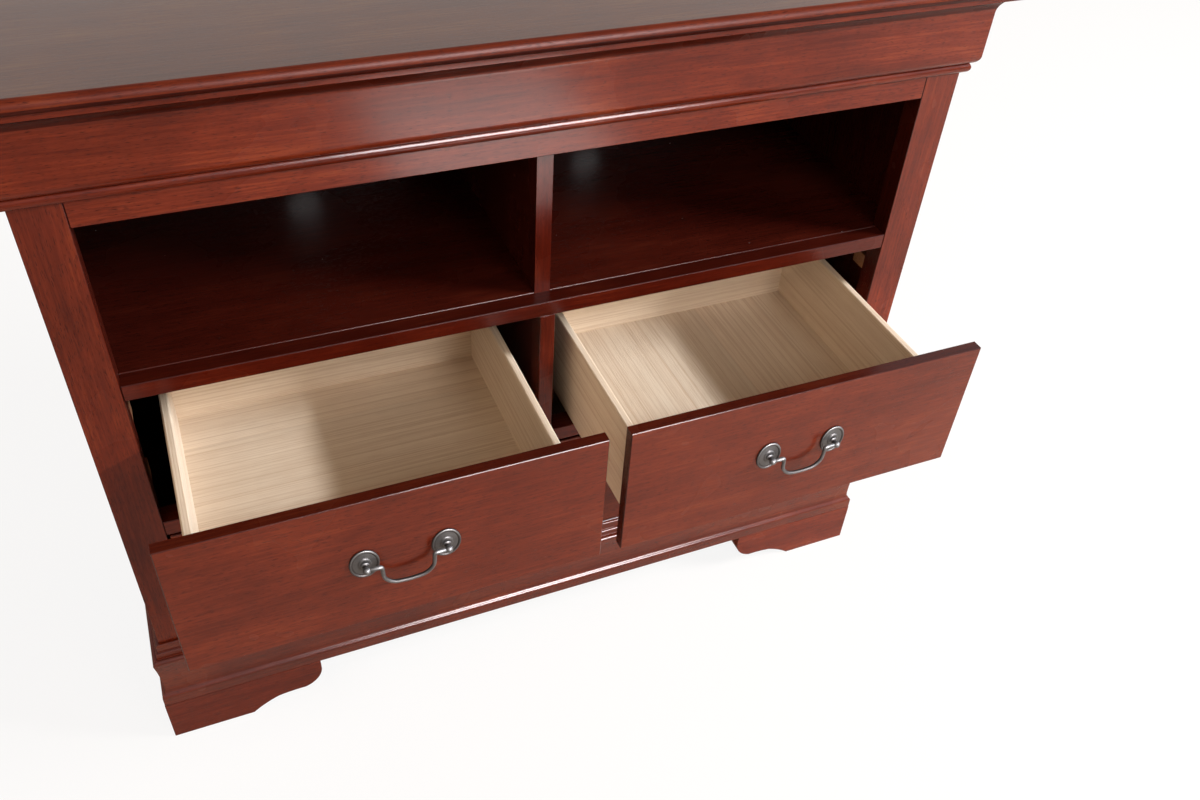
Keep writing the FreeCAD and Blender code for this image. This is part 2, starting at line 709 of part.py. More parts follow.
def case():
    """Every fixed piece."""
    frieze_reach = moulding_reach(FRIEZE_PROFILE)
    base_reach = moulding_reach(BASE_PROFILE)
    bead_reach = moulding_reach(BEAD_PROFILE)
    frieze_return = side_moulding(FRIEZE_PROFILE, frieze_reach)
    base_return = side_moulding(BASE_PROFILE, base_reach)
    bead_return = side_moulding(BEAD_PROFILE, bead_reach)
    bead_front = front_moulding(BEAD_PROFILE, bead_reach)
    bottom_panel_z = BOTTOM_RAIL_TOP - BOTTOM_PANEL_THICK
    inside = (-SIDE_INNER, SIDE_INNER, FRAME_DEPTH, BACK_FACE)
    sub_top = box(*inside, SUB_TOP_BOTTOM, CASE_TOP)
    bottom_panel = box(*inside, bottom_panel_z, BOTTOM_RAIL_TOP)
    return {
        "top_board": top_board(),
        "sub_top": sub_top.cut(group(top_screws())),
        "frieze_front": front_moulding(FRIEZE_PROFILE, frieze_reach),
        "frieze_returns": group([frieze_return, mirrored(frieze_return)]),
        "bead_moulding": group([bead_front, bead_return, mirrored(bead_return)]),
        "stile_right": stile(),
        "stile_left": mirrored(stile()),
        "upper_rail": rail(UPPER_RAIL_BOTTOM, CASE_TOP, FRAME_DEPTH),
        "shelf_rail": rail(SHELF_RAIL_BOTTOM, SHELF_RAIL_TOP, SHELF_RAIL_DEPTH),
        "middle_rail": rail(MIDDLE_RAIL_BOTTOM, MIDDLE_RAIL_TOP, FRAME_DEPTH),
        "bottom_rail": rail(BOTTOM_RAIL_TOP - BOTTOM_RAIL_HEIGHT, BOTTOM_RAIL_TOP, FRAME_DEPTH),
        "centre_stile_upper": centre_stile(MIDDLE_RAIL_TOP, SHELF_RAIL_BOTTOM),
        "centre_stile_lower": centre_stile(BOTTOM_RAIL_TOP, MIDDLE_RAIL_BOTTOM),
        "side_panel_right": side_panel(),
        "side_panel_left": mirrored(side_panel()),
        "shelf_panel": shelf_panel(),
        "compartment_divider": compartment_divider(),
        "centre_partition": centre_partition(),
        "bottom_panel": bottom_panel,
        "rear_rail": rear_rail(),
        "back_panel": back_panel(),
        "base_front": front_moulding(BASE_PROFILE, base_reach),
        "base_returns": group([base_return, mirrored(base_return)]),
        "front_foot_right": front_foot(),
        "front_foot_left": mirrored(front_foot()),
        "rear_foot_right": rear_foot(),
        "rear_foot_left": mirrored(rear_foot()),
        "guide_rails": guide_rails(),
        "drawer_glides": drawer_glides(),
        "glue_blocks": glue_blocks(),
        "case_screws": group(back_screws() + top_screws()),
    }


def write(pieces):
    """One STEP file for each piece, moved so that the origin is below the middle of the chest."""
    os.makedirs("parts", exist_ok=True)
    for name, shape in pieces.items():
        shape.translate(V(0, -ORIGIN_Y, 0))
        shape.exportStep(f"parts/{name}.step")


write({**case(), **drawers()})
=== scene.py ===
"""Tall media chest in the Louis-Philippe manner, with its two upper drawers pulled out."""
import json
import math
import random

import bmesh
import bpy
from mathutils import Matrix, Vector

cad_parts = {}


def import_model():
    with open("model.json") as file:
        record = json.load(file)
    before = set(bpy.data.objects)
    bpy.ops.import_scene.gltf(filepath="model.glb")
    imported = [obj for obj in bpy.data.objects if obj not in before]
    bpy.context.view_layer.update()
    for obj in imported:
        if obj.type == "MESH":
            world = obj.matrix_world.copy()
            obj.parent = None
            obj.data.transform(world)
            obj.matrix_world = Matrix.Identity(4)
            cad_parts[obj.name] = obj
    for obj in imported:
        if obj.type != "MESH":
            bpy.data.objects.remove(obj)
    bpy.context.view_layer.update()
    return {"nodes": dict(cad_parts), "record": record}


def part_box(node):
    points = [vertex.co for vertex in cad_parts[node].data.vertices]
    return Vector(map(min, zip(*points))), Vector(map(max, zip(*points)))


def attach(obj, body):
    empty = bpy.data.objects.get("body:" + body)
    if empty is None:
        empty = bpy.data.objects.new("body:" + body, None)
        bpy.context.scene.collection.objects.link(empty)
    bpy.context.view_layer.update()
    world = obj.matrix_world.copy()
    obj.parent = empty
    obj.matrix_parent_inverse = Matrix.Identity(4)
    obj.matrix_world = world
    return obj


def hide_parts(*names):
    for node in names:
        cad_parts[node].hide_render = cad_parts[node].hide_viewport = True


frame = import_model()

MM = 1000                # millimetres in a metre

# Joining the CAD triangles and softening the edges, in metres
MERGE = 0.000002
PLACE_DIGITS = 6
FLAT = math.radians(0.4)
SHARP = math.radians(28)
EDGE_SOFTNESS = 0.0005
EDGE_STEPS = 2

# Bail pulls in millimetres: where they sit on a drawer front, and how far their parts stand out
PULL_HALF_SPACING = 48.0
PULL_INSET = 4.5
PULL_ABOVE_FRONT_BOTTOM = 103.9
PIVOT_STAND_OFF = 12.0
BALL_RADIUS = 4.6
BALL_TIP_RADIUS = 0.15
BALL_STEPS = 14
PIN_REACH = 1.5
ROSETTE_SEGMENTS = 96
POST_SEGMENTS = 48

# Rosette as (half width, distance from the drawer front) in millimetres, from the rim to the middle
ROSETTE_STRETCH = 22.2 / 17.6
ROSETTE_PROFILE = [
    (17.60, 0.00), (17.60, 0.90), (17.50, 1.50), (17.20, 1.95), (16.75, 2.22), (16.20, 2.30),
    (15.75, 2.22), (15.35, 1.95), (15.10, 1.60), (14.70, 1.32), (14.10, 1.20), (13.55, 1.22),
    (13.35, 1.36), (13.10, 1.40), (12.90, 1.30), (12.60, 1.34), (12.35, 1.48), (12.05, 1.50),
    (11.75, 1.38), (11.50, 1.42), (11.20, 1.58), (10.90, 1.60), (10.60, 1.48), (10.30, 1.54),
    (10.00, 1.68), (9.70, 1.70), (9.40, 1.60), (9.05, 1.66), (8.75, 1.82), (8.45, 1.84),
    (8.10, 1.76), (7.75, 2.05), (7.45, 2.60), (7.00, 3.00), (6.40, 3.22), (5.65, 3.30), (2.90, 3.30),
]
# Post as (radius, distance) in the same way, from the front outwards to the neck of its ball
POST_PROFILE = [
    (3.00, 3.00), (3.90, 3.30), (4.70, 3.60), (5.05, 4.10), (4.95, 4.65), (4.40, 5.10), (3.40, 5.60),
    (2.90, 6.20), (2.75, 7.20), (2.90, 8.20),
]
# Head of a pull's screw as (radius, height over the back of the drawer front)
PULL_SCREW_HEAD = [(4.2, 0.0), (4.0, 0.9), (3.2, 1.8), (1.8, 2.3), (0.2, 2.4)]

# Half of a bail in millimetres, as (distance from its middle, height over the pivot, bend radius)
BAIL_CORNERS = [(30.9, 0.0, 3.2), (29.7, -20.5, 17.0), (19.4, -31.2, 19.0), (0.0, -32.9, 90.0)]
BAIL_ARC_STEPS = 10
BAIL_SIDES = 24
BAIL_RADIUS = 2.4
STUB_BEND = BAIL_CORNERS[0][2]
STUB_SWELL = 0.14

# Where the wear and the painted light of a pull change, in millimetres from the drawer front or from the
# rosette's middle
POST_START = 3.4
BALL_START = 7.5
COLLAR_START = 4.3
RIM_FACE_START = 1.7
RIM_START = 15.2
GROOVE_START = 13.6
RING_STEP = 1.3

# How bright the metal is painted there, for wear and for painted light: 0 is black with grime and painted
# shade, and 1 is bare metal or a painted highlight
PLAIN_METAL = 0.3
RING_DEPTH = 0.14
PROUD_METAL = 0.38
# Neck and groove: grime and painted shade where the post meets the rosette and inside the rim
NECK_GRIME_AND_SHADE = 0.05
GROOVE_GRIME_AND_SHADE = 0.06
RIM_SIDE_METAL = 0.10
RIM_METAL = 0.20
# Painted highlight along the rim's upper side
RIM_TOP_PAINTED_HIGHLIGHT = 0.34
STUB_METAL = 0.30
# Painted highlight along the top of the bail's stubs
STUB_TOP_PAINTED_HIGHLIGHT = 0.25
WIRE_METAL = 0.34
# Painted shade along the top of the bail's wire
WIRE_TOP_PAINTED_SHADE = 0.30

# Countersunk screws of the case
SCREW_SIZES = {
    "Head Radius": 0.0035, "Head Depth": 0.0022, "Shank Radius": 0.00175, "Length": 0.024,
    "Recess Width": 0.0008, "Recess Span": 0.0038, "Recess Depth": 0.0016,
}
SCREW_HEAD_SIDES = 40
SCREW_SHANK_SIDES = 24
LENGTH_DIGITS = 4

# Woods: the dark and the light colour of each, and the colour of its pores or fine lines
WOOD_COLOURS = {
    "cherry_face": ((0.066, 0.006, 0.002), (0.172, 0.021, 0.006), (0.030, 0.003, 0.001)),
    "cherry_front": ((0.062, 0.0065, 0.002), (0.160, 0.022, 0.007), (0.030, 0.003, 0.001)),
    # Painted shade: cherry darkened for the recessed fronts of the shelf rail, divider, middle rail and
    # upper centre stile, where the open drawers and the case keep light off
    "cherry_painted_shade": ((0.040, 0.003, 0.001), (0.104, 0.010, 0.003), (0.020, 0.002, 0.001)),
    "cherry_nose": ((0.064, 0.007, 0.002), (0.150, 0.022, 0.006), (0.030, 0.003, 0.001)),
    "cherry_base": ((0.060, 0.006, 0.002), (0.148, 0.019, 0.005), (0.030, 0.003, 0.001)),
    # Painted shade: the next two are cherry darkened for the hollow at the frieze's head, and for the cove
    # under the top's nose and the shelf rail's top
    "cherry_hollow_painted_shade": ((0.030, 0.003, 0.001), (0.080, 0.009, 0.003), (0.016, 0.002, 0.001)),
    "cherry_cove_painted_shade": ((0.018, 0.002, 0.001), (0.050, 0.005, 0.002), (0.012, 0.001, 0.001)),
    "cherry_top": ((0.054, 0.017, 0.005), (0.106, 0.034, 0.011), (0.030, 0.006, 0.004)),
    "cherry_edge": ((0.030, 0.003, 0.001), (0.062, 0.008, 0.003), (0.020, 0.002, 0.002)),
    "dark_inside": ((0.026, 0.003, 0.0015), (0.056, 0.0065, 0.003), (0.012, 0.002, 0.001)),
    "dark_back_board": ((0.030, 0.009, 0.007), (0.060, 0.016, 0.011), (0.020, 0.007, 0.005)),
    "drawer_wood": ((0.65, 0.505, 0.36), (0.80, 0.675, 0.525), (0.50, 0.34, 0.21)),
    "drawer_floor_wood": ((0.63, 0.485, 0.35), (0.78, 0.655, 0.505), (0.48, 0.32, 0.20)),
    "frame_wood": ((0.24, 0.13, 0.065), (0.36, 0.21, 0.11), (0.15, 0.08, 0.04)),
    "block_wood": ((0.17, 0.065, 0.022), (0.26, 0.105, 0.036), (0.11, 0.04, 0.014)),
}

# Films on stained wood: how strongly one mirrors, the weight of its clear coat, and the coat's roughness
FILM_SOCKETS = ("Specular IOR Level", "Coat Weight", "Coat Roughness")
SATIN_FILM = (0.08, 0.24, 0.16)
NOSE_FILM = (0.06, 0.05, 0.42)
BASE_FILM = (0.08, 0.42, 0.20)
HOLLOW_FILM = (0.06, 0.10, 0.22)
COVE_FILM = (0.05, 0.06, 0.30)
TOP_FILM = (0.12, 0.42, 0.17)
INSIDE_FILM = (0.08, 0.16, 0.24)
LACQUER_IOR = 1.45

# Figure of the wood, with its patterns in cycles a metre along, across and through the board
NOISE_SPREAD = (0.30, 0.70)
SWAY_CYCLES = (2.2, 5.0, 5.0)
SWAY_REACH = 0.05
RIPPLE_CYCLES = (26.0, 9.0, 9.0)
STAIN_LINE_CYCLES = (16.0, 340.0, 340.0)
STAIN_LINE_SPREAD = (0.36, 0.64)
BARE_LINE_CYCLES = (1.6, 330.0, 330.0)
BARE_LINE_SPREAD = (0.49, 0.61)
WAVE_CYCLES = 140.0

# How much each part of the figure counts in the tone of stained and of bare wood
STAIN_BANDS, STAIN_CLOUDS, STAIN_LINES = 0.36, 0.34, 0.30
BARE_BANDS, BARE_CLOUDS, BARE_LINES = 0.6, 0.4, 0.46
GLOW_START = 0.6
GLOW_MOST = 0.45
GLOW_GAINS = (1.25, 2.0, 1.8)
STAIN_BOARD_SHADES = (0.88, 1.10)
BARE_BOARD_SHADES = (0.95, 1.04)

# Pores: how rare they are at most, how much their amount adds, and how softly they end
PORE_RAREST = 0.78
PORE_GAIN = 0.36
PORE_SOFTNESS = 0.14
STAIN_PORE_AMOUNT = 0.55
STAIN_PORE_DARKNESS = 0.75
BARE_PORE_DARKNESS = 0.22

# Dust: the edge of a speck in parts of the spacing, and how level a face must be to hold it
SPECK_EDGE = (0.020, 0.055)
DUSTY_SLOPES = (0.5, 0.9)
DUST_COLOUR = (0.42, 0.38, 0.37)
DUST_ROUGHNESS = 0.3

# Planks and small knots of the drawers' floors
PLANK_WIDTH = 0.105
PLANK_SHADES = (0.90, 1.06)
SEAM_EDGE = (0.488, 0.498)
SEAM_DARKNESS = 0.5
KNOT_CYCLES = (5.6, 6.4, 0.0)
KNOT_EDGE = (0.010, 0.024)
KNOT_RARITY = 0.55
KNOT_DARKNESS = 0.8
KNOT_COLOUR = (0.12, 0.07, 0.045)

# Roughness from the dark to the light parts of the figure, and the depth of the relief in metres
STAIN_ROUGHNESS_SPREAD = (-0.04, 0.05)
BARE_ROUGHNESS = (0.47, 0.58)
LACQUER_RELIEF = 0.00006
LACQUER_WAVES = 0.35
BARE_RELIEF = 0.00008
PEWTER_RELIEF = 0.00006
NYLON_RELIEF = 0.00004

# Metals and nylon: their colours, and the roughness from one end of each pattern to the other
PEWTER_GRIME_AND_SHADE = (0.016, 0.012, 0.011)
PEWTER_TONES = (0.048, 0.046, 0.046), (0.092, 0.089, 0.088)
PEWTER_BARE_AND_HIGHLIGHT = (0.30, 0.30, 0.30)
PEWTER_ROUGHNESS = (0.48, 0.42)
PEWTER_METALLIC = 0.9
ZINC_TONES = (0.48, 0.47, 0.43), (0.66, 0.66, 0.64)
ZINC_ROUGHNESS = (0.28, 0.46)
NYLON_TONES = (0.20, 0.066, 0.021), (0.26, 0.09, 0.03)
NYLON_ROUGHNESS = (0.40, 0.55)

# Which faces of a board get which finish, by the part of their normal along one axis
FRONT_FACING = -0.9
SIDE_FACING = 0.6
LEVEL_FACING = 0.999
# The faces under the top's nose and in the frieze's hollow that these pick get painted shade
NOSE_UNDERSIDE = -0.12
HOLLOW_UNDERSIDE = -0.2
FRIEZE_HOLLOW_FOOT = 0.99
ALONG_X, ALONG_Y, ALONG_Z = range(3)

# Camera
CAMERA_PLACE = (-0.42046, -1.15250, 1.50335)
CAMERA_RIGHT = (0.92128819, -0.38484421, 0.05588387)
CAMERA_DOWN = (-0.21629844, -0.62653373, -0.74877932)
CAMERA_FOCAL_PIXELS = 1080.5
CAMERA_CLIP = 0.05
IMAGE_WIDTH = 1200
SENSOR_WIDTH = 36.0

# Lamps: where each is, the point it faces, its size, power and colour, and if it only shows in gloss
LAMPS = {
    "key_strip": dict(
        place=(4.0, -1.65, 2.42), aim=(0.0, 0.0, 0.5), size=(1.4, 0.12),
        power=380.0, colour=(0.95, 1.0, 1.08), gleam_only=False,
    ),
    "front_box": dict(
        place=(0.7, -2.4, 2.1), aim=(0.0, 0.0, 0.5), size=(0.9, 0.9),
        power=20.0, colour=(1.0, 0.90, 0.78), gleam_only=False,
    ),
    "left_fill": dict(
        place=(-1.7, -1.5, 2.3), aim=(0.2, -0.2, 0.5), size=(1.2, 1.2),
        power=10.0, colour=(1.0, 0.76, 0.54), gleam_only=False,
    ),
    "front_gleam": dict(
        place=(0.7, -2.4, 1.78), aim=(0.0, 0.0, 0.5), size=(1.1, 1.5),
        power=320.0, colour=(1.0, 0.97, 1.0), gleam_only=True,
    ),
    "low_gleam": dict(
        place=(0.45, -1.75, 0.02), aim=(0.45, -1.75, 1.0), size=(0.62, 0.8),
        power=17.0, colour=(1.0, 0.98, 0.96), gleam_only=True,
    ),
}
WORLD_COLOUR = (1.0, 0.80, 0.62)
WORLD_STRENGTH = 0.40
FLOOR_HALF = 30.0
FLOOR_COLOUR = (0.82, 0.73, 0.64)
FLOOR_SHADOW_SHARE = 0.11
WHITE = (1.0, 1.0, 1.0)

# Socket numbers of a colour Mix node
MIX_FACTOR = 0
MIX_A = 6
MIX_B = 7
MIX_RESULT = 2


def opaque(colour):
    """A plain colour with its alpha. A socket stays as it is."""
    return colour if isinstance(colour, bpy.types.NodeSocket) else (*colour, 1)


class Graph:
    """A node tree that is filled step by step, from its inputs to its outputs."""

    def __init__(self, tree):
        self.tree = tree

    def add(self, kind, feeds=None, **settings):
        """A node with its settings. Each socket is fed by a value or by another node's socket."""
        made = self.tree.nodes.new(kind)
        for name, value in settings.items():
            setattr(made, name, value)
        for name, value in (feeds or {}).items():
            self.feed(made.inputs[name], value)
        return made

    def feed(self, socket, value):
        """Links a socket to a socket, or sets it to a plain value."""
        if isinstance(value, bpy.types.NodeSocket):
            self.tree.links.new(value, socket)
        else:
            socket.default_value = value

    def math(self, operation, first, second=0.0, clamp=False):
        """One step of arithmetic."""
        feeds = {0: first, 1: second}
        return self.add("ShaderNodeMath", feeds, operation=operation, use_clamp=clamp).outputs[0]

    def plus(self, first, second):
        return self.math("ADD", first, second)

    def minus(self, first, second):
        return self.math("SUBTRACT", first, second)

    def times(self, first, second):
        return self.math("MULTIPLY", first, second)

    def over(self, first, second):
        return self.math("DIVIDE", first, second)

    def split(self, vector):
        """The three numbers of a vector."""
        return tuple(self.add("ShaderNodeSeparateXYZ", {0: vector}).outputs)

    def joined(self, first, second, third):
        """A vector of three numbers."""
        return self.add("ShaderNodeCombineXYZ", {0: first, 1: second, 2: third}).outputs[0]

    def scaled(self, vector, factors):
        """A vector times three factors."""
        return self.add("ShaderNodeVectorMath", {0: vector, 1: factors}, operation="MULTIPLY").outputs[0]

    def streaked(self, place, length, width):
        """A place in units of a streak's length along the grain, and of its width the other ways."""
        along, across, through = place
        return self.joined(self.over(along, length), self.over(across, width), self.over(through, width))

    def noise(self, vector, scale=1.0, detail=2.0, roughness=0.5, distortion=0.0):
        """Smooth noise between 0 and 1."""
        feeds = {
            "Vector": vector, "Scale": scale, "Detail": detail,
            "Roughness": roughness, "Distortion": distortion,
        }
        return self.add("ShaderNodeTexNoise", feeds).outputs[0]

    def cells(self, vector, scale):
        """Scattered points: the distance to the nearest, and a chance from 0 to 1 that belongs to it."""
        made = self.add("ShaderNodeTexVoronoi", {"Vector": vector, "Scale": scale}, feature="F1").outputs
        chance = self.add("ShaderNodeSeparateColor", {0: made["Color"]}).outputs[0]
        return made["Distance"], chance

    def remap(self, value, low, high, new_low=0.0, new_high=1.0, smooth=False):
        """A value moved from one range to another, and kept inside it."""
        feeds = {0: value, 1: low, 2: high, 3: new_low, 4: new_high}
        kind = "SMOOTHSTEP" if smooth else "LINEAR"
        return self.add("ShaderNodeMapRange", feeds, interpolation_type=kind).outputs[0]

    def mix(self, factor, first, second):
        """Two colours mixed."""
        feeds = {MIX_FACTOR: factor, MIX_A: opaque(first), MIX_B: opaque(second)}
        return self.add("ShaderNodeMix", feeds, data_type="RGBA").outputs[MIX_RESULT]

    def shaded(self, colour, shade):
        """A colour made darker or lighter."""
        return self.add("ShaderNodeHueSaturation", {"Value": shade, "Color": colour}).outputs[0]

    def place(self):
        """Where a point of the piece is."""
        return self.add("ShaderNodeTexCoord").outputs["Object"]

    def carried(self, name, output="Vector"):
        """A value that the mesh carries."""
        return self.add("ShaderNodeAttribute", attribute_name=name).outputs[output]

    def effect(self, tree, feeds):
        """A shared effect, with this material's own values."""
        return self.add("ShaderNodeGroup", feeds, node_tree=tree).outputs

    def bump(self, height, distance):
        """A normal that follows a height."""
        return self.add("ShaderNodeBump", {"Height": height, "Distance": distance}).outputs[0]


def new_effect(name, inputs, outputs):
    """An empty node group with named sockets: its graph, what comes in and what goes out."""
    tree = bpy.data.node_groups.new(name, "ShaderNodeTree")
    for label, value in inputs.items():
        kind = "NodeSocketVector" if value is None else "NodeSocketFloat"
        socket = tree.interface.new_socket(name=label, in_out="INPUT", socket_type=kind)
        if value is not None:
            socket.default_value = value
    for label in outputs:
        tree.interface.new_socket(name=label, in_out="OUTPUT", socket_type="NodeSocketFloat")
    graph = Graph(tree)
    return graph, graph.add("NodeGroupInput").outputs, graph.add("NodeGroupOutput").inputs


def wood_figure():
    """Bands, clouds and ripple of a board. The vector runs along the grain in its first number."""
    inputs = {"Grain": None, "Band Length": 0.45, "Band Width": 0.03, "Cloud Size": 0.16, "Slant": -1.3}
    graph, source, result = new_effect("wood_figure", inputs, ["Bands", "Clouds", "Ripple"])
    along, across, through = graph.split(source["Grain"])
    sway = graph.noise(graph.scaled(source["Grain"], SWAY_CYCLES), detail=1.0)
    swaying = graph.plus(across, graph.times(graph.minus(sway, 0.5), SWAY_REACH))
    streaks = graph.streaked((along, swaying, through), source["Band Length"], source["Band Width"])
    cloud_scale = graph.over(1.0, source["Cloud Size"])
    leaning = graph.joined(graph.plus(along, graph.times(across, source["Slant"])), across, through)
    patterns = {
        "Bands": graph.noise(streaks, detail=5.0, roughness=0.62),
        "Clouds": graph.noise(source["Grain"], cloud_scale, detail=3.0, roughness=0.55, distortion=0.4),
        "Ripple": graph.noise(graph.scaled(leaning, RIPPLE_CYCLES), detail=3.0, distortion=0.4),
    }
    for name, pattern in patterns.items():
        graph.feed(result[name], graph.remap(pattern, *NOISE_SPREAD))
    return graph.tree


def open_pores():
    """Short fine streaks along the grain."""
    inputs = {"Grain": None, "Pore Length": 0.009, "Pore Width": 0.0009, "Amount": 0.5}
    graph, source, result = new_effect("open_pores", inputs, ["Pores"])
    place = graph.streaked(graph.split(source["Grain"]), source["Pore Length"], source["Pore Width"])
    edge = graph.minus(PORE_RAREST, graph.times(source["Amount"], PORE_GAIN))
    top = graph.plus(edge, PORE_SOFTNESS)
    graph.feed(result["Pores"], graph.remap(graph.noise(place, detail=1.0), edge, top, smooth=True))
    return graph.tree


def settled_dust():
    """Sparse pale specks on what faces upwards."""
    inputs = {"Place": None, "Speck Spacing": 0.016, "Amount": 0.5}
    graph, source, result = new_effect("settled_dust", inputs, ["Dust"])
    distance, chance = graph.cells(source["Place"], graph.over(1.0, source["Speck Spacing"]))
    specks = graph.remap(distance, *SPECK_EDGE, 1.0, 0.0)
    kept = graph.math("LESS_THAN", chance, source["Amount"])
    upward = graph.split(graph.add("ShaderNodeNewGeometry").outputs["Normal"])[2]
    facing = graph.remap(upward, *DUSTY_SLOPES)
    graph.feed(result["Dust"], graph.times(graph.times(specks, kept), facing))
    return graph.tree


FIGURE = wood_figure()
PORES = open_pores()
DUST = settled_dust()


def new_material(name):
    """A material with its graph and its shader."""
    material = bpy.data.materials.new(name)
    material.use_nodes = True
    return material, Graph(material.node_tree), material.node_tree.nodes["Principled BSDF"]


def surface(graph, shader, colour, roughness, normal):
    """Feeds what changes over a surface into its shader."""
    graph.feed(shader.inputs["Base Color"], colour)
    graph.feed(shader.inputs["Roughness"], roughness)
    graph.feed(shader.inputs["Normal"], normal)


def stain_tone(graph, grain, figure, ripple, contrast):
    """How light the stain is over a board, from 0 to 1. The ripple takes its share from the bands."""
    lines = graph.noise(graph.scaled(grain, STAIN_LINE_CYCLES), detail=3.0, roughness=0.6)
    tone = graph.times(figure["Bands"], STAIN_BANDS - ripple)
    tone = graph.plus(tone, graph.times(figure["Clouds"], STAIN_CLOUDS))
    tone = graph.plus(tone, graph.times(figure["Ripple"], ripple))
    tone = graph.plus(tone, graph.times(graph.remap(lines, *STAIN_LINE_SPREAD), STAIN_LINES))
    return graph.remap(tone, 0.5 - 0.5 / contrast, 0.5 + 0.5 / contrast)


def lacquered_wood(name, roughness, film=SATIN_FILM, speckle=0.0, ripple=0.0, contrast=1.3):
    """Stained and lacquered wood: figure under the film, pores that show through, a little dust."""
    material, graph, shader = new_material(name)
    dark, light, pore_colour = WOOD_COLOURS[name]
    grain = graph.carried("grain")
    figure = graph.effect(FIGURE, {"Grain": grain})
    pores = graph.effect(PORES, {"Grain": grain, "Amount": STAIN_PORE_AMOUNT})["Pores"]
    tone = stain_tone(graph, grain, figure, ripple, contrast)
    glow = graph.remap(tone, GLOW_START, 1.0, 0.0, GLOW_MOST)
    glow_colour = [part * gain for part, gain in zip(light, GLOW_GAINS)]
    colour = graph.mix(glow, graph.mix(tone, dark, light), glow_colour)
    colour = graph.mix(graph.times(pores, STAIN_PORE_DARKNESS), colour, pore_colour)
    board = graph.remap(graph.carried("board", "Fac"), 0.0, 1.0, *STAIN_BOARD_SHADES)
    colour = graph.shaded(colour, board)
    spread = [roughness + change for change in STAIN_ROUGHNESS_SPREAD]
    rough = graph.remap(figure["Clouds"], 0.0, 1.0, *spread)
    if speckle:
        dust = graph.effect(DUST, {"Place": graph.place(), "Amount": speckle})["Dust"]
        colour = graph.mix(dust, colour, DUST_COLOUR)
        rough = graph.plus(rough, graph.times(dust, DUST_ROUGHNESS))
    waves = graph.noise(grain, WAVE_CYCLES, detail=1.0)
    height = graph.minus(graph.times(waves, LACQUER_WAVES), pores)
    surface(graph, shader, colour, rough, graph.bump(height, LACQUER_RELIEF))
    shader.inputs["IOR"].default_value = LACQUER_IOR
    for socket, value in zip(FILM_SOCKETS, film):
        shader.inputs[socket].default_value = value
    return material


def with_planks(graph, grain, colour, seam_colour):
    """A floor's colour with a shade for each plank and dark seams, and where the seams are."""
    place = graph.over(graph.split(grain)[1], PLANK_WIDTH)
    number = graph.math("FLOOR", place)
    shade = graph.add("ShaderNodeTexWhiteNoise", {"W": number}, noise_dimensions="1D").outputs[0]
    colour = graph.shaded(colour, graph.remap(shade, 0.0, 1.0, *PLANK_SHADES))
    from_middle = graph.math("ABSOLUTE", graph.minus(graph.math("FRACT", place), 0.5))
    seam = graph.remap(from_middle, *SEAM_EDGE)
    return graph.mix(graph.times(seam, SEAM_DARKNESS), colour, seam_colour), seam


def with_knots(graph, grain, colour):
    """A floor's colour with a few small dark knots."""
    distance, chance = graph.cells(graph.scaled(grain, KNOT_CYCLES), 1.0)
    knot = graph.remap(distance, *KNOT_EDGE, 1.0, 0.0)
    knot = graph.times(knot, graph.math("GREATER_THAN", chance, KNOT_RARITY))
    return graph.mix(graph.times(knot, KNOT_DARKNESS), colour, KNOT_COLOUR)


def bare_wood(name, planks=False):
    """Plain-sawn wood under a thin clear coat, with fine straight lines."""
    material, graph, shader = new_material(name)
    dark, light, line_colour = WOOD_COLOURS[name]
    grain = graph.carried("grain")
    feeds = {"Grain": grain, "Band Length": 0.9, "Band Width": 0.016, "Cloud Size": 0.22}
    figure = graph.effect(FIGURE, feeds)
    feeds = {"Grain": grain, "Pore Length": 0.03, "Pore Width": 0.0011, "Amount": 0.75}
    pores = graph.effect(PORES, feeds)["Pores"]
    tone = graph.plus(graph.times(figure["Bands"], BARE_BANDS), graph.times(figure["Clouds"], BARE_CLOUDS))
    lines = graph.noise(graph.scaled(grain, BARE_LINE_CYCLES), detail=3.0, roughness=0.6)
    lines = graph.remap(lines, *BARE_LINE_SPREAD)
    colour = graph.mix(graph.times(lines, BARE_LINES), graph.mix(tone, dark, light), line_colour)
    colour = graph.mix(graph.times(pores, BARE_PORE_DARKNESS), colour, line_colour)
    height = graph.times(pores, -1.0)
    if planks:
        colour, seam = with_planks(graph, grain, colour, line_colour)
        height = graph.minus(height, seam)
        colour = with_knots(graph, grain, colour)
    board = graph.remap(graph.carried("board", "Fac"), 0.0, 1.0, *BARE_BOARD_SHADES)
    rough = graph.remap(lines, 0.0, 1.0, *BARE_ROUGHNESS)
    surface(graph, shader, graph.shaded(colour, board), rough, graph.bump(height, BARE_RELIEF))
    return material


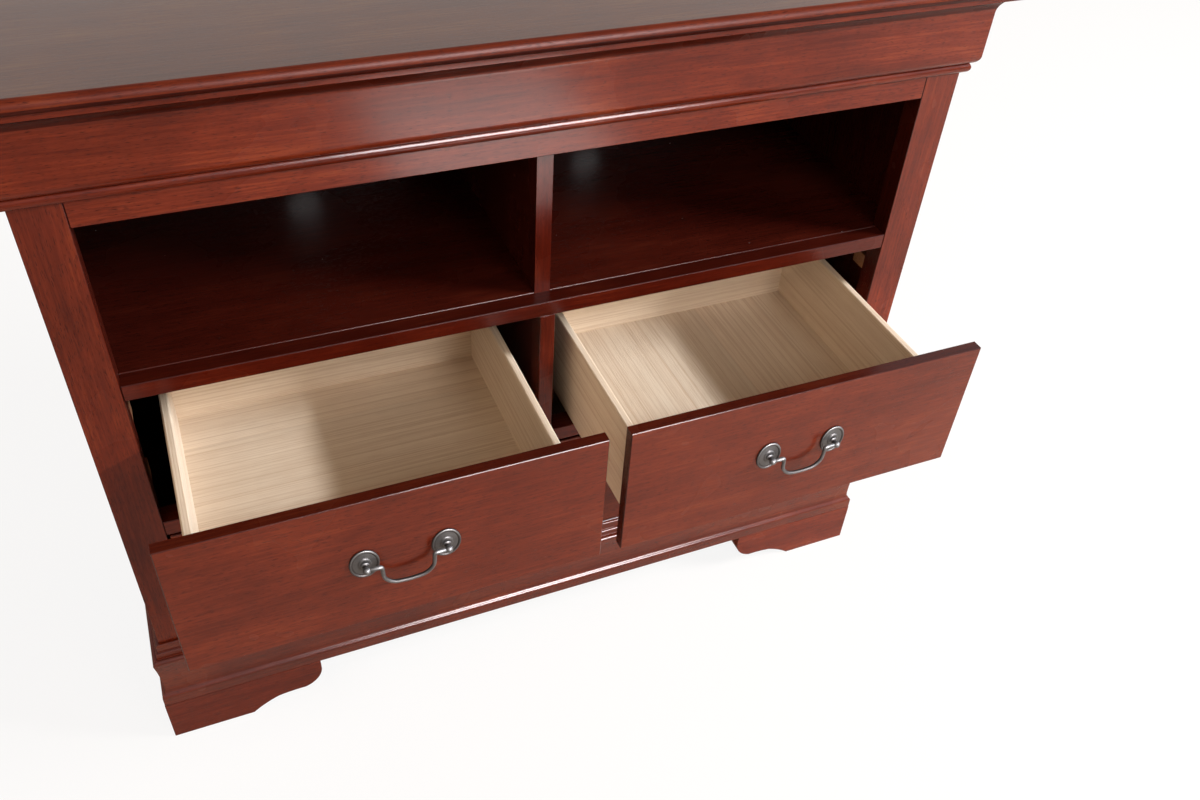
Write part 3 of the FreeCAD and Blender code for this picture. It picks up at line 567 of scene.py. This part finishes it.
def aged_pewter():
    """Dark cast metal with its proud edges worn bright, grime and painted shade in its hollows, and painted
    highlights and shade along its tops.
    """
    material, graph, shader = new_material("aged_pewter")
    place = graph.place()
    patches = graph.noise(place, scale=420.0, detail=3.0, roughness=0.6)
    wear_and_painted_light = graph.carried("wear_and_painted_light", "Fac")
    # Low values mix grime and painted shade into the metal, high ones bare metal for wear and for painted
    # highlights.
    clear_of_grime_and_shade = graph.remap(wear_and_painted_light, 0.0, PLAIN_METAL)
    wear_and_highlight = graph.remap(wear_and_painted_light, PLAIN_METAL, 1.0)
    wear_and_highlight = graph.math("MULTIPLY", wear_and_highlight, graph.remap(patches, 0.25, 0.75, 0.75, 1.1), clamp=True)
    colour = graph.mix(clear_of_grime_and_shade, PEWTER_GRIME_AND_SHADE, graph.mix(patches, *PEWTER_TONES))
    colour = graph.mix(wear_and_highlight, colour, PEWTER_BARE_AND_HIGHLIGHT)
    rough = graph.remap(wear_and_highlight, 0.0, 1.0, *PEWTER_ROUGHNESS)
    grit = graph.noise(place, scale=1500.0, detail=2.0)
    surface(graph, shader, colour, rough, graph.bump(grit, PEWTER_RELIEF))
    shader.inputs["Metallic"].default_value = PEWTER_METALLIC
    return material


def zinc_plate():
    """Thin bright plating on screws."""
    material, graph, shader = new_material("zinc_plate")
    patches = graph.noise(graph.place(), scale=600.0, detail=2.0)
    graph.feed(shader.inputs["Base Color"], graph.mix(patches, *ZINC_TONES))
    graph.feed(shader.inputs["Roughness"], graph.remap(patches, 0.2, 0.8, *ZINC_ROUGHNESS))
    shader.inputs["Metallic"].default_value = 1.0
    return material


def moulded_nylon():
    """Amber-brown moulded nylon, faintly cloudy."""
    material, graph, shader = new_material("moulded_nylon")
    place = graph.place()
    clouds = graph.noise(place, scale=90.0, detail=3.0)
    grit = graph.noise(place, scale=2200.0, detail=1.0)
    rough = graph.remap(clouds, 0.2, 0.8, *NYLON_ROUGHNESS)
    surface(graph, shader, graph.mix(clouds, *NYLON_TONES), rough, graph.bump(grit, NYLON_RELIEF))
    return material


CHERRY = lacquered_wood("cherry_face", 0.25)
FRONT_CHERRY = lacquered_wood("cherry_front", 0.25, ripple=0.14, contrast=1.1)
# Painted shade for the recessed fronts round the open drawers
SHADE_PAINTED_CHERRY = lacquered_wood("cherry_painted_shade", 0.26)
NOSE_CHERRY = lacquered_wood("cherry_nose", 0.38, NOSE_FILM)
BASE_CHERRY = lacquered_wood("cherry_base", 0.25, BASE_FILM)
# Painted shade for the frieze's hollow, and for the cove under the top's nose and the shelf rail's top
HOLLOW_SHADE_PAINTED_CHERRY = lacquered_wood("cherry_hollow_painted_shade", 0.28, HOLLOW_FILM)
COVE_SHADE_PAINTED_CHERRY = lacquered_wood("cherry_cove_painted_shade", 0.34, COVE_FILM)
TOP_CHERRY = lacquered_wood("cherry_top", 0.30, TOP_FILM)
EDGE_CHERRY = lacquered_wood("cherry_edge", 0.24)
INSIDE = lacquered_wood("dark_inside", 0.26, INSIDE_FILM, speckle=0.14)
BACK_BOARD = lacquered_wood("dark_back_board", 0.45)
DRAWER_WOOD = bare_wood("drawer_wood")
DRAWER_FLOOR = bare_wood("drawer_floor_wood", planks=True)
FRAME_WOOD = bare_wood("frame_wood")
BLOCK_WOOD = bare_wood("block_wood")
PEWTER = aged_pewter()
ZINC = zinc_plate()
NYLON = moulded_nylon()

# The finish of every board's material slot. The pulls and the screws are made on their own.
SLOT_FINISH = {
    "cherry_lacquer": CHERRY,
    "dark_interior_lacquer": INSIDE,
    "drawer_wood": DRAWER_WOOD,
    "glue_block_wood": BLOCK_WOOD,
    "frame_wood": FRAME_WOOD,
    "back_board": BACK_BOARD,
    "nylon": NYLON,
}


def islands(mesh):
    """The separate solids of a mesh, each as a list of its vertices' numbers."""
    owner = list(range(len(mesh.vertices)))

    def root(number):
        while owner[number] != number:
            owner[number] = owner[owner[number]]
            number = owner[number]
        return number

    for edge in mesh.edges:
        first, second = (root(number) for number in edge.vertices)
        owner[first] = second
    found = {}
    for number in range(len(mesh.vertices)):
        found.setdefault(root(number), []).append(number)
    return list(found.values())


def box_of(points):
    """The lowest and the highest corner of some points."""
    low = Vector([min(point[axis] for point in points) for axis in range(3)])
    high = Vector([max(point[axis] for point in points) for axis in range(3)])
    return low, high


def add_grain(mesh, name, along=None):
    """Gives every board its own stretch of wood, with the grain along its longest side."""
    dice = random.Random(name)
    mesh.attributes.new("grain", "FLOAT_VECTOR", "POINT")
    mesh.attributes.new("board", "FLOAT", "POINT")
    grain = mesh.attributes["grain"]
    board = mesh.attributes["board"]
    for numbers in islands(mesh):
        points = [mesh.vertices[number].co for number in numbers]
        low, high = box_of(points)
        extent = [high[axis] - low[axis] for axis in range(3)]
        first = extent.index(max(extent)) if along is None else along
        others = sorted((axis for axis in range(3) if axis != first), key=lambda axis: -extent[axis])
        order = [first] + others
        start = [dice.uniform(1.0, 9.0) for _ in order]
        shade = dice.random()
        for number, point in zip(numbers, points):
            grain.data[number].vector = [start[i] + point[axis] - low[axis] for i, axis in enumerate(order)]
            board.data[number].value = shade


def solids(mesh):
    """The vertices' numbers of each closed solid. The faces of one solid follow one another."""
    found = []
    numbers = set()
    opened = set()
    for face in mesh.polygons:
        numbers.update(face.vertices)
        places = [mesh.vertices[number].co.to_tuple(PLACE_DIGITS) for number in face.vertices]
        for edge in zip(places, places[1:] + places[:1]):
            opened ^= {frozenset(edge)}
        if not opened:
            found.append(numbers)
            numbers = set()
    return found


def merged(source, name):
    """A copy of a mesh whose triangles are joined into whole flat faces, solid by solid."""
    work = bmesh.new()
    work.from_mesh(source)
    work.verts.ensure_lookup_table()
    for vertices in [[work.verts[number] for number in numbers] for numbers in solids(source)]:
        bmesh.ops.remove_doubles(work, verts=vertices, dist=MERGE)
    bmesh.ops.dissolve_limit(work, angle_limit=FLAT, verts=work.verts, edges=work.edges)
    mesh = bpy.data.meshes.new(name)
    work.to_mesh(mesh)
    work.free()
    return mesh


def new_piece(name, mesh):
    """An object at the origin that shows a mesh."""
    piece = bpy.data.objects.new(name, mesh)
    bpy.context.scene.collection.objects.link(piece)
    return piece


def made_plain(piece):
    """Turns what a piece's modifiers make into its own mesh, and takes the modifiers away."""
    before = piece.data
    bpy.context.view_layer.update()
    solid = piece.evaluated_get(bpy.context.evaluated_depsgraph_get())
    finished = bpy.data.meshes.new_from_object(solid)
    piece.modifiers.clear()
    piece.data = finished
    bpy.data.meshes.remove(before)
    finished.name = piece.name


def softened(node, name):
    """A copy of a node with its sharp edges rounded, and even shading. It stays inside the node's box."""
    mesh = merged(frame["nodes"][node].data, name)
    mesh.shade_smooth()
    piece = new_piece(name, mesh)
    bevel = piece.modifiers.new("soft edges", "BEVEL")
    bevel.width = EDGE_SOFTNESS
    bevel.segments = EDGE_STEPS
    bevel.limit_method = "ANGLE"
    bevel.angle_limit = SHARP
    even = piece.modifiers.new("even shading", "WEIGHTED_NORMAL")
    even.keep_sharp = True
    made_plain(piece)
    low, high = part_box(node)
    for vertex in piece.data.vertices:
        vertex.co = [min(max(vertex.co[axis], low[axis]), high[axis]) for axis in range(3)]
    return piece


def hand_over(piece, node, body, slot):
    """Lets a finished piece stand for its CAD node."""
    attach(piece, body)
    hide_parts(node)


def dress(node, body, slot, finishes, along=None, choose=None):
    """The finished piece of a board. choose picks a finish for each face."""
    name = f"{node}_finished"
    piece = softened(node, name)
    add_grain(piece.data, name, along)
    piece.data.materials.clear()
    for finish in finishes:
        piece.data.materials.append(finish)
    for face in piece.data.polygons:
        face.material_index = choose(face) if choose else 0
    hand_over(piece, node, body, slot)


def front_only(face):
    """The front face gets the first finish, and the edges the second."""
    return 0 if face.normal.y < FRONT_FACING else 1


def front_and_outside(side):
    """The front face and the outer side get the first finish."""
    return lambda face: 0 if face.normal.y < FRONT_FACING or face.normal.x * side > SIDE_FACING else 1


def outside_only(side):
    """The outer side gets the first finish."""
    return lambda face: 0 if face.normal.x * side > SIDE_FACING else 1


def top_faces(face):
    """The flat of the top gets the second finish, and the hollow under its nose the third, which is painted
    shade.
    """
    if face.normal.z > LEVEL_FACING:
        return 1
    return 2 if face.normal.z < NOSE_UNDERSIDE else 0


def frieze_faces(face):
    """The hollow at the head of the frieze gets the second finish, which is painted shade."""
    return 1 if face.center.z > FRIEZE_HOLLOW_FOOT and face.normal.z < HOLLOW_UNDERSIDE else 0


# How single nodes differ from the rule of their material slot
FACED = {
    # The cove under the top's nose gets painted shade.
    "top_board": dict(finishes=[NOSE_CHERRY, TOP_CHERRY, COVE_SHADE_PAINTED_CHERRY], choose=top_faces),
    "base_front": dict(finishes=[BASE_CHERRY]),
    "shelf_panel": dict(finishes=[INSIDE]),
    # The fronts of the shelf rail and the divider get painted shade, and the shelf rail's top a darker
    # painted shade.
    "shelf_rail": dict(finishes=[SHADE_PAINTED_CHERRY, COVE_SHADE_PAINTED_CHERRY], choose=front_only),
    "compartment_divider": dict(finishes=[SHADE_PAINTED_CHERRY, INSIDE], choose=front_only, along=ALONG_Z),
    "centre_partition": dict(along=ALONG_Z),
    "back_panel": dict(along=ALONG_Z),
}
# The frieze's hollow gets painted shade.
for node in ("frieze_front", "frieze_returns"):
    FACED[node] = dict(finishes=[CHERRY, HOLLOW_SHADE_PAINTED_CHERRY], choose=frieze_faces)
for node in ("upper_rail", "bottom_rail", "centre_stile_lower"):
    FACED[node] = dict(finishes=[CHERRY, EDGE_CHERRY], choose=front_only)
for node in ("middle_rail", "centre_stile_upper"):
    # The fronts of the middle rail and the upper centre stile get painted shade.
    FACED[node] = dict(finishes=[SHADE_PAINTED_CHERRY, EDGE_CHERRY], choose=front_only)
for side, outward in (("right", 1), ("left", -1)):
    FACED[f"stile_{side}"] = dict(finishes=[CHERRY, INSIDE], choose=front_and_outside(outward))
    FACED[f"side_panel_{side}"] = dict(finishes=[CHERRY, INSIDE], choose=outside_only(outward))
DRAWERS = [(f"{row}_{side}_", side) for row in ("upper", "lower") for side in ("left", "right")]
for prefix, side in DRAWERS:
    floor_grain = ALONG_X if side == "left" else ALONG_Y
    FACED[prefix + "drawer_front"] = dict(finishes=[FRONT_CHERRY, EDGE_CHERRY], choose=front_only)
    FACED[prefix + "drawer_bottom"] = dict(finishes=[DRAWER_FLOOR], along=floor_grain)


def skin(work, rings):
    """Faces from ring to ring, with a cap at each end."""
    for near, far in zip(rings, rings[1:]):
        for step in range(len(near)):
            after = (step + 1) % len(near)
            work.faces.new((near[step], near[after], far[after], far[step]))
    work.faces.new(rings[0])
    work.faces.new(rings[-1])


def lathe(work, profile, centre, segments, stretch=1.0):
    """Turns (radius, distance) points in millimetres round an axis that stands out from a drawer front."""
    rings = []
    for radius, distance in profile:
        ring = []
        for step in range(segments):
            angle = 2 * math.pi * step / segments
            offset = Vector((radius * math.cos(angle), -distance, radius * math.sin(angle) * stretch))
            ring.append(work.verts.new(centre + offset / MM))
        rings.append(ring)
    skin(work, rings)


def ball_points():
    """The outline of a post's ball from where it leaves its neck to its tip, as (radius, distance)."""
    neck_radius = POST_PROFILE[-1][0]
    first = math.asin(neck_radius / BALL_RADIUS)
    points = []
    for step in range(BALL_STEPS):
        angle = first + (math.pi - first) * step / BALL_STEPS
        points.append((BALL_RADIUS * math.sin(angle), PIVOT_STAND_OFF - BALL_RADIUS * math.cos(angle)))
    return points + [(BALL_TIP_RADIUS, PIVOT_STAND_OFF + BALL_RADIUS)]


def finish_piece(work, node, body, slot, finish):
    """Makes a built mesh into a piece that stands for its CAD node."""
    name = f"{node}_finished"
    bmesh.ops.recalc_face_normals(work, faces=work.faces)
    mesh = bpy.data.meshes.new(name)
    work.to_mesh(mesh)
    work.free()
    mesh.shade_smooth()
    mesh.materials.append(finish)
    piece = new_piece(name, mesh)
    hand_over(piece, node, body, slot)
    return piece


def paint_wear_and_light(mesh, brightness):
    """Marks how bright the metal is painted, for its wear, grime, painted shade and painted highlights:
    brightness gives 0 to 1 for a vertex.
    """
    wear_and_painted_light = mesh.attributes.new("wear_and_painted_light", "FLOAT", "POINT")
    for vertex in mesh.vertices:
        wear_and_painted_light.data[vertex.index].value = brightness(vertex)


def pull_centres(prefix):
    """The middles of a pull's two rosettes on the face of its drawer front."""
    low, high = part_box(prefix + "drawer_front")
    front_middle = (low.x + high.x) / 2
    middle_x = front_middle - math.copysign(PULL_INSET / MM, front_middle)
    middle = Vector((middle_x, low.y, low.z + PULL_ABOVE_FRONT_BOTTOM / MM))
    return [middle + Vector((side * PULL_HALF_SPACING / MM, 0, 0)) for side in (-1, 1)]


def mount_wear_and_light(centres):
    """How bright each part of a pull's mounts is painted, round the middles of its rosettes: wear, grime
    and painted shade, and a painted highlight on the rim's top.
    """
    def brightness(vertex):
        centre = min(centres, key=lambda place: (vertex.co - place).length)
        offset = (vertex.co - centre) * MM
        distance = -offset.y
        if distance > BALL_START:
            return PROUD_METAL
        if distance > POST_START:
            # The neck of the post gets grime and painted shade.
            return PROUD_METAL if math.hypot(offset.x, offset.z) > COLLAR_START else NECK_GRIME_AND_SHADE
        width = math.hypot(offset.x, offset.z / ROSETTE_STRETCH)
        if width > RIM_START:
            # The rim gets a painted highlight on its upper side.
            upper = max(0.0, offset.z / ROSETTE_STRETCH / width)
            return RIM_METAL + RIM_TOP_PAINTED_HIGHLIGHT * upper if distance > RIM_FACE_START else RIM_SIDE_METAL
        if width > GROOVE_START:
            # The groove inside the rim gets grime and painted shade.
            return GROOVE_GRIME_AND_SHADE
        ring = math.cos(2 * math.pi * width / RING_STEP)
        return PLAIN_METAL * (1 - RING_DEPTH + RING_DEPTH * ring)

    return brightness


def pull_mounts(prefix):
    """Both rosettes and posts of a pull, with its screws inside the drawer."""
    work = bmesh.new()
    post = POST_PROFILE + ball_points()
    centres = pull_centres(prefix)
    back = (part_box(prefix + "drawer_front")[1].y - centres[0].y) * MM
    head = [(radius, -back - height) for radius, height in PULL_SCREW_HEAD]
    for centre in centres:
        lathe(work, ROSETTE_PROFILE, centre, ROSETTE_SEGMENTS, ROSETTE_STRETCH)
        lathe(work, post, centre, POST_SEGMENTS)
        lathe(work, head, centre, POST_SEGMENTS)
    piece = finish_piece(work, prefix + "pull_mounts", prefix + "drawer", "pewter", PEWTER)
    paint_wear_and_light(piece.data, mount_wear_and_light(centres))


def rounded(before, corner, after, radius):
    """Points on the arc that rounds a corner of a line."""
    into = (corner - before).normalized()
    out = (after - corner).normalized()
    half_turn = into.angle(out) / 2
    centre = corner + (out - into).normalized() * (radius / math.cos(half_turn))
    first = corner - into * radius * math.tan(half_turn) - centre
    turn = into.angle_signed(out)
    points = []
    for step in range(BAIL_ARC_STEPS + 1):
        turned = first.copy()
        turned.rotate(Matrix.Rotation(-turn * step / BAIL_ARC_STEPS, 2))
        points.append(centre + turned)
    return points


def bail_line():
    """The middle line of a bail in millimetres, round the bends of both halves."""
    corners = [Vector((x, z)) for x, z, _ in BAIL_CORNERS]
    radii = [radius for _, _, radius in BAIL_CORNERS]
    start = Vector((PULL_HALF_SPACING + PIN_REACH, 0.0))
    bottom = len(corners) - 1
    mirror = [Vector((-corner.x, corner.y)) for corner in reversed(corners[:bottom])]
    chain = [start] + corners + mirror + [Vector((-start.x, start.y))]
    bends = radii + list(reversed(radii[:bottom]))
    line = [start]
    for before, corner, after, radius in zip(chain, chain[1:], chain[2:], bends):
        line += rounded(before, corner, after, radius)
    return line + [chain[-1]]


def bail(prefix):
    """The bail: round wire, a little stouter at the stubs that enter the posts."""
    left, right = pull_centres(prefix)
    middle = (left + right) / 2 - Vector((0, PIVOT_STAND_OFF / MM, 0))
    line = bail_line()
    work = bmesh.new()
    rings = []
    for number, point in enumerate(line):
        before = line[max(number - 1, 0)]
        after = line[min(number + 1, len(line) - 1)]
        ahead = (after - before).normalized()
        sideways = Vector((-ahead.y, ahead.x))
        near_pivot = max(0.0, 1.0 + point.y / STUB_BEND / 2)
        radius = BAIL_RADIUS * (1.0 + STUB_SWELL * near_pivot)
        ring = []
        for step in range(BAIL_SIDES):
            angle = 2 * math.pi * step / BAIL_SIDES
            flat = point + sideways * radius * math.cos(angle)
            offset = Vector((flat.x, -radius * math.sin(angle), flat.y))
            ring.append(work.verts.new(middle + offset / MM))
        rings.append(ring)
    skin(work, rings)
    piece = finish_piece(work, prefix + "bail", prefix + "bail", "pewter", PEWTER)

    # The stubs get a painted highlight on top, and the wire painted shade on top.
    def brightness(vertex):
        upward = max(0.0, vertex.normal.z)
        stub = vertex.co.z > middle.z - STUB_BEND / MM
        return STUB_METAL + STUB_TOP_PAINTED_HIGHLIGHT * upward if stub else WIRE_METAL - WIRE_TOP_PAINTED_SHADE * upward

    paint_wear_and_light(piece.data, brightness)


def screw_heads(mesh):
    """For each screw in a mesh: the middle of its head's face, the way it goes in, and its length."""
    found = []
    for numbers in islands(mesh):
        points = [mesh.vertices[number].co for number in numbers]
        low, high = box_of(points)
        extent = high - low
        axis = max(range(3), key=lambda number: extent[number])
        middle = (low + high) / 2
        widest = max(points, key=lambda point: (point - middle).length)
        inward = Vector((0, 0, 0))
        inward[axis] = -math.copysign(1.0, widest[axis] - middle[axis])
        found.append((middle - inward * extent[axis] / 2, inward, extent[axis]))
    return found


def one_screw(graph, source):
    """A countersunk screw with a cross recess. The middle of its head's face is at the origin."""
    feeds = {
        "Vertices": SCREW_HEAD_SIDES, "Depth": source["Head Depth"],
        "Radius Top": source["Shank Radius"], "Radius Bottom": source["Head Radius"],
    }
    head = graph.add("GeometryNodeMeshCone", feeds).outputs["Mesh"]
    both_ways = graph.times(source["Recess Depth"], 2.0)
    size = graph.joined(source["Recess Span"], source["Recess Width"], both_ways)
    bar = graph.add("GeometryNodeMeshCube", {"Size": size}).outputs["Mesh"]
    cut = graph.add("GeometryNodeMeshBoolean", {"Mesh 1": head}, operation="DIFFERENCE")
    for turn in (0.0, math.pi / 2):
        turned = graph.add("GeometryNodeTransform", {"Geometry": bar, "Rotation": (0.0, 0.0, turn)})
        graph.feed(cut.inputs["Mesh 2"], turned.outputs[0])
    shank_length = graph.minus(source["Length"], source["Head Depth"])
    feeds = {"Vertices": SCREW_SHANK_SIDES, "Radius": source["Shank Radius"], "Depth": shank_length}
    shank = graph.add("GeometryNodeMeshCylinder", feeds).outputs["Mesh"]
    height = graph.plus(source["Head Depth"], graph.over(shank_length, 2.0))
    feeds = {"Geometry": shank, "Translation": graph.joined(0.0, 0.0, height)}
    screw = graph.add("GeometryNodeJoinGeometry", {0: cut.outputs[0]})
    graph.feed(screw.inputs[0], graph.add("GeometryNodeTransform", feeds).outputs[0])
    return screw.outputs[0]


def point_value(graph, name, kind):
    """A value that each point carries."""
    return graph.add("GeometryNodeInputNamedAttribute", {"Name": name}, data_type=kind).outputs[0]


def screw_tree():
    """Screws on points: each goes in along its point's own direction, and is driven to its own spin."""
    tree = bpy.data.node_groups.new("cross_head_screws", "GeometryNodeTree")
    tree.interface.new_socket(name="Geometry", in_out="INPUT", socket_type="NodeSocketGeometry")
    for label in SCREW_SIZES:
        tree.interface.new_socket(name=label, in_out="INPUT", socket_type="NodeSocketFloat")
    tree.interface.new_socket(name="Finish", in_out="INPUT", socket_type="NodeSocketMaterial")
    tree.interface.new_socket(name="Geometry", in_out="OUTPUT", socket_type="NodeSocketGeometry")
    graph = Graph(tree)
    source = graph.add("NodeGroupInput").outputs
    screw = one_screw(graph, source)
    spin = graph.joined(0.0, 0.0, point_value(graph, "spin", "FLOAT"))
    spun = graph.add("FunctionNodeEulerToRotation", {0: spin}).outputs[0]
    feeds = {"Rotation": spun, "Vector": point_value(graph, "inward", "FLOAT_VECTOR")}
    driven = graph.add("FunctionNodeAlignRotationToVector", feeds, axis="Z").outputs[0]
    feeds = {"Points": source["Geometry"], "Instance": screw, "Rotation": driven}
    placed = graph.add("GeometryNodeInstanceOnPoints", feeds).outputs[0]
    plain = graph.add("GeometryNodeRealizeInstances", {0: placed}).outputs[0]
    feeds = {"Geometry": plain, "Material": source["Finish"]}
    dressed = graph.add("GeometryNodeSetMaterial", feeds).outputs[0]
    graph.feed(graph.add("NodeGroupOutput").inputs[0], dressed)
    return tree


def equal_screws(name, tree, length, seats, finish, dice):
    """Screws of one length, as a piece of its own with a plain mesh."""
    mesh = bpy.data.meshes.new(name)
    mesh.from_pydata([place for place, _ in seats], [], [])
    mesh.attributes.new("inward", "FLOAT_VECTOR", "POINT")
    mesh.attributes.new("spin", "FLOAT", "POINT")
    for number, (_, inward) in enumerate(seats):
        mesh.attributes["inward"].data[number].vector = inward
        mesh.attributes["spin"].data[number].value = dice.uniform(0.0, math.pi / 2)
    piece = new_piece(name, mesh)
    modifier = piece.modifiers.new("screws", "NODES")
    modifier.node_group = tree
    values = {**SCREW_SIZES, "Length": length, "Finish": finish}
    for item in tree.interface.items_tree:
        if item.in_out == "INPUT" and item.name in values:
            modifier[item.identifier] = values[item.name]
    made_plain(piece)
    return piece


def screws(node, body, slot, finish):
    """The case's screws, each where its CAD solid is, grouped by their lengths."""
    dice = random.Random(node)
    name = f"{node}_finished"
    seats_by_length = {}
    for place, inward, length in screw_heads(merged(frame["nodes"][node].data, name)):
        seats_by_length.setdefault(round(length, LENGTH_DIGITS), []).append((place, inward))
    tree = screw_tree()
    work = bmesh.new()
    for length, seats in seats_by_length.items():
        piece = equal_screws(name, tree, length, seats, finish, dice)
        work.from_mesh(piece.data)
        bpy.data.objects.remove(piece)
    bmesh.ops.remove_doubles(work, verts=work.verts, dist=MERGE)
    finish_piece(work, node, body, slot, finish).data.shade_flat()


for prefix, _ in DRAWERS:
    pull_mounts(prefix)
    bail(prefix)

slot_of = {part["node"]: part["material_slot"] for part in frame["record"]["subparts"]}
for body, nodes in frame["record"]["behaviour"]["bodies"].items():
    for node in nodes:
        slot = slot_of[node]
        if slot == "zinc":
            screws(node, body, slot, ZINC)
        elif slot != "pewter":
            dress(node, body, slot, **{"finishes": [SLOT_FINISH[slot]], **FACED.get(node, {})})


def floor():
    """A plain pale floor that shows white and keeps the chest's shadow."""
    mesh = bpy.data.meshes.new("floor")
    corners = [(x * FLOOR_HALF, y * FLOOR_HALF, 0) for x, y in ((-1, -1), (1, -1), (1, 1), (-1, 1))]
    mesh.from_pydata(corners, [], [(0, 1, 2, 3)])
    material = bpy.data.materials.new("pale_floor")
    material.use_nodes = True
    material.node_tree.nodes.clear()
    graph = Graph(material.node_tree)
    seen = graph.add("ShaderNodeLightPath").outputs["Is Camera Ray"]
    white_share = graph.times(seen, 1 - FLOOR_SHADOW_SHARE)
    plain = graph.add("ShaderNodeBsdfDiffuse", {"Color": opaque(FLOOR_COLOUR)})
    white = graph.add("ShaderNodeEmission", {"Color": opaque(WHITE), "Strength": 1.0})
    both = graph.add("ShaderNodeMixShader", {0: white_share, 1: plain.outputs[0], 2: white.outputs[0]})
    graph.add("ShaderNodeOutputMaterial", {0: both.outputs[0]})
    mesh.materials.append(material)
    new_piece("floor", mesh)


def seen_directly(graph):
    """1 for rays from the camera and those that gloss or glass sends on, and 0 for diffuse light."""
    path = graph.add("ShaderNodeLightPath").outputs
    direct = graph.math("MAXIMUM", path["Is Camera Ray"], path["Is Glossy Ray"])
    return graph.math("MAXIMUM", direct, path["Is Transmission Ray"])


def world():
    """Even pale light from all round, seen as white."""
    surroundings = bpy.data.worlds.new("studio")
    bpy.context.scene.world = surroundings
    surroundings.use_nodes = True
    surroundings.node_tree.nodes.clear()
    graph = Graph(surroundings.node_tree)
    seen = seen_directly(graph)
    strength = graph.remap(seen, 0.0, 1.0, WORLD_STRENGTH, 1.0)
    colour = graph.mix(seen, WORLD_COLOUR, WHITE)
    light = graph.add("ShaderNodeBackground", {"Color": colour, "Strength": strength})
    graph.add("ShaderNodeOutputWorld", {0: light.outputs[0]})


def lamp(name, place, aim, size, power, colour, gleam_only):
    """A soft lamp and the point it faces. One that only gleams shows in gloss and adds no light."""
    light = bpy.data.lights.new(name, "AREA")
    light.shape = "RECTANGLE"
    light.size, light.size_y = size
    light.energy = power
    light.color = colour
    made = bpy.data.objects.new(name, light)
    made.visible_diffuse = not gleam_only
    made.visible_camera = not gleam_only
    made.location = place
    made.rotation_euler = (Vector(aim) - Vector(place)).to_track_quat("-Z", "Y").to_euler()
    bpy.context.scene.collection.objects.link(made)


def camera():
    """The camera looks down on the open drawers from the left."""
    lens = bpy.data.cameras.new("camera")
    lens.sensor_width = SENSOR_WIDTH
    lens.lens = SENSOR_WIDTH * CAMERA_FOCAL_PIXELS / IMAGE_WIDTH
    lens.clip_start = CAMERA_CLIP
    made = bpy.data.objects.new("camera", lens)
    right = Vector(CAMERA_RIGHT).normalized()
    up = -Vector(CAMERA_DOWN).normalized()
    turn = Matrix((right, up, right.cross(up))).transposed().to_4x4()
    made.matrix_world = Matrix.Translation(CAMERA_PLACE) @ turn
    bpy.context.scene.collection.objects.link(made)
    bpy.context.scene.camera = made


floor()
world()
for name, settings in LAMPS.items():
    lamp(name, **settings)
camera()
bpy.context.scene.view_settings.view_transform = "Standard"
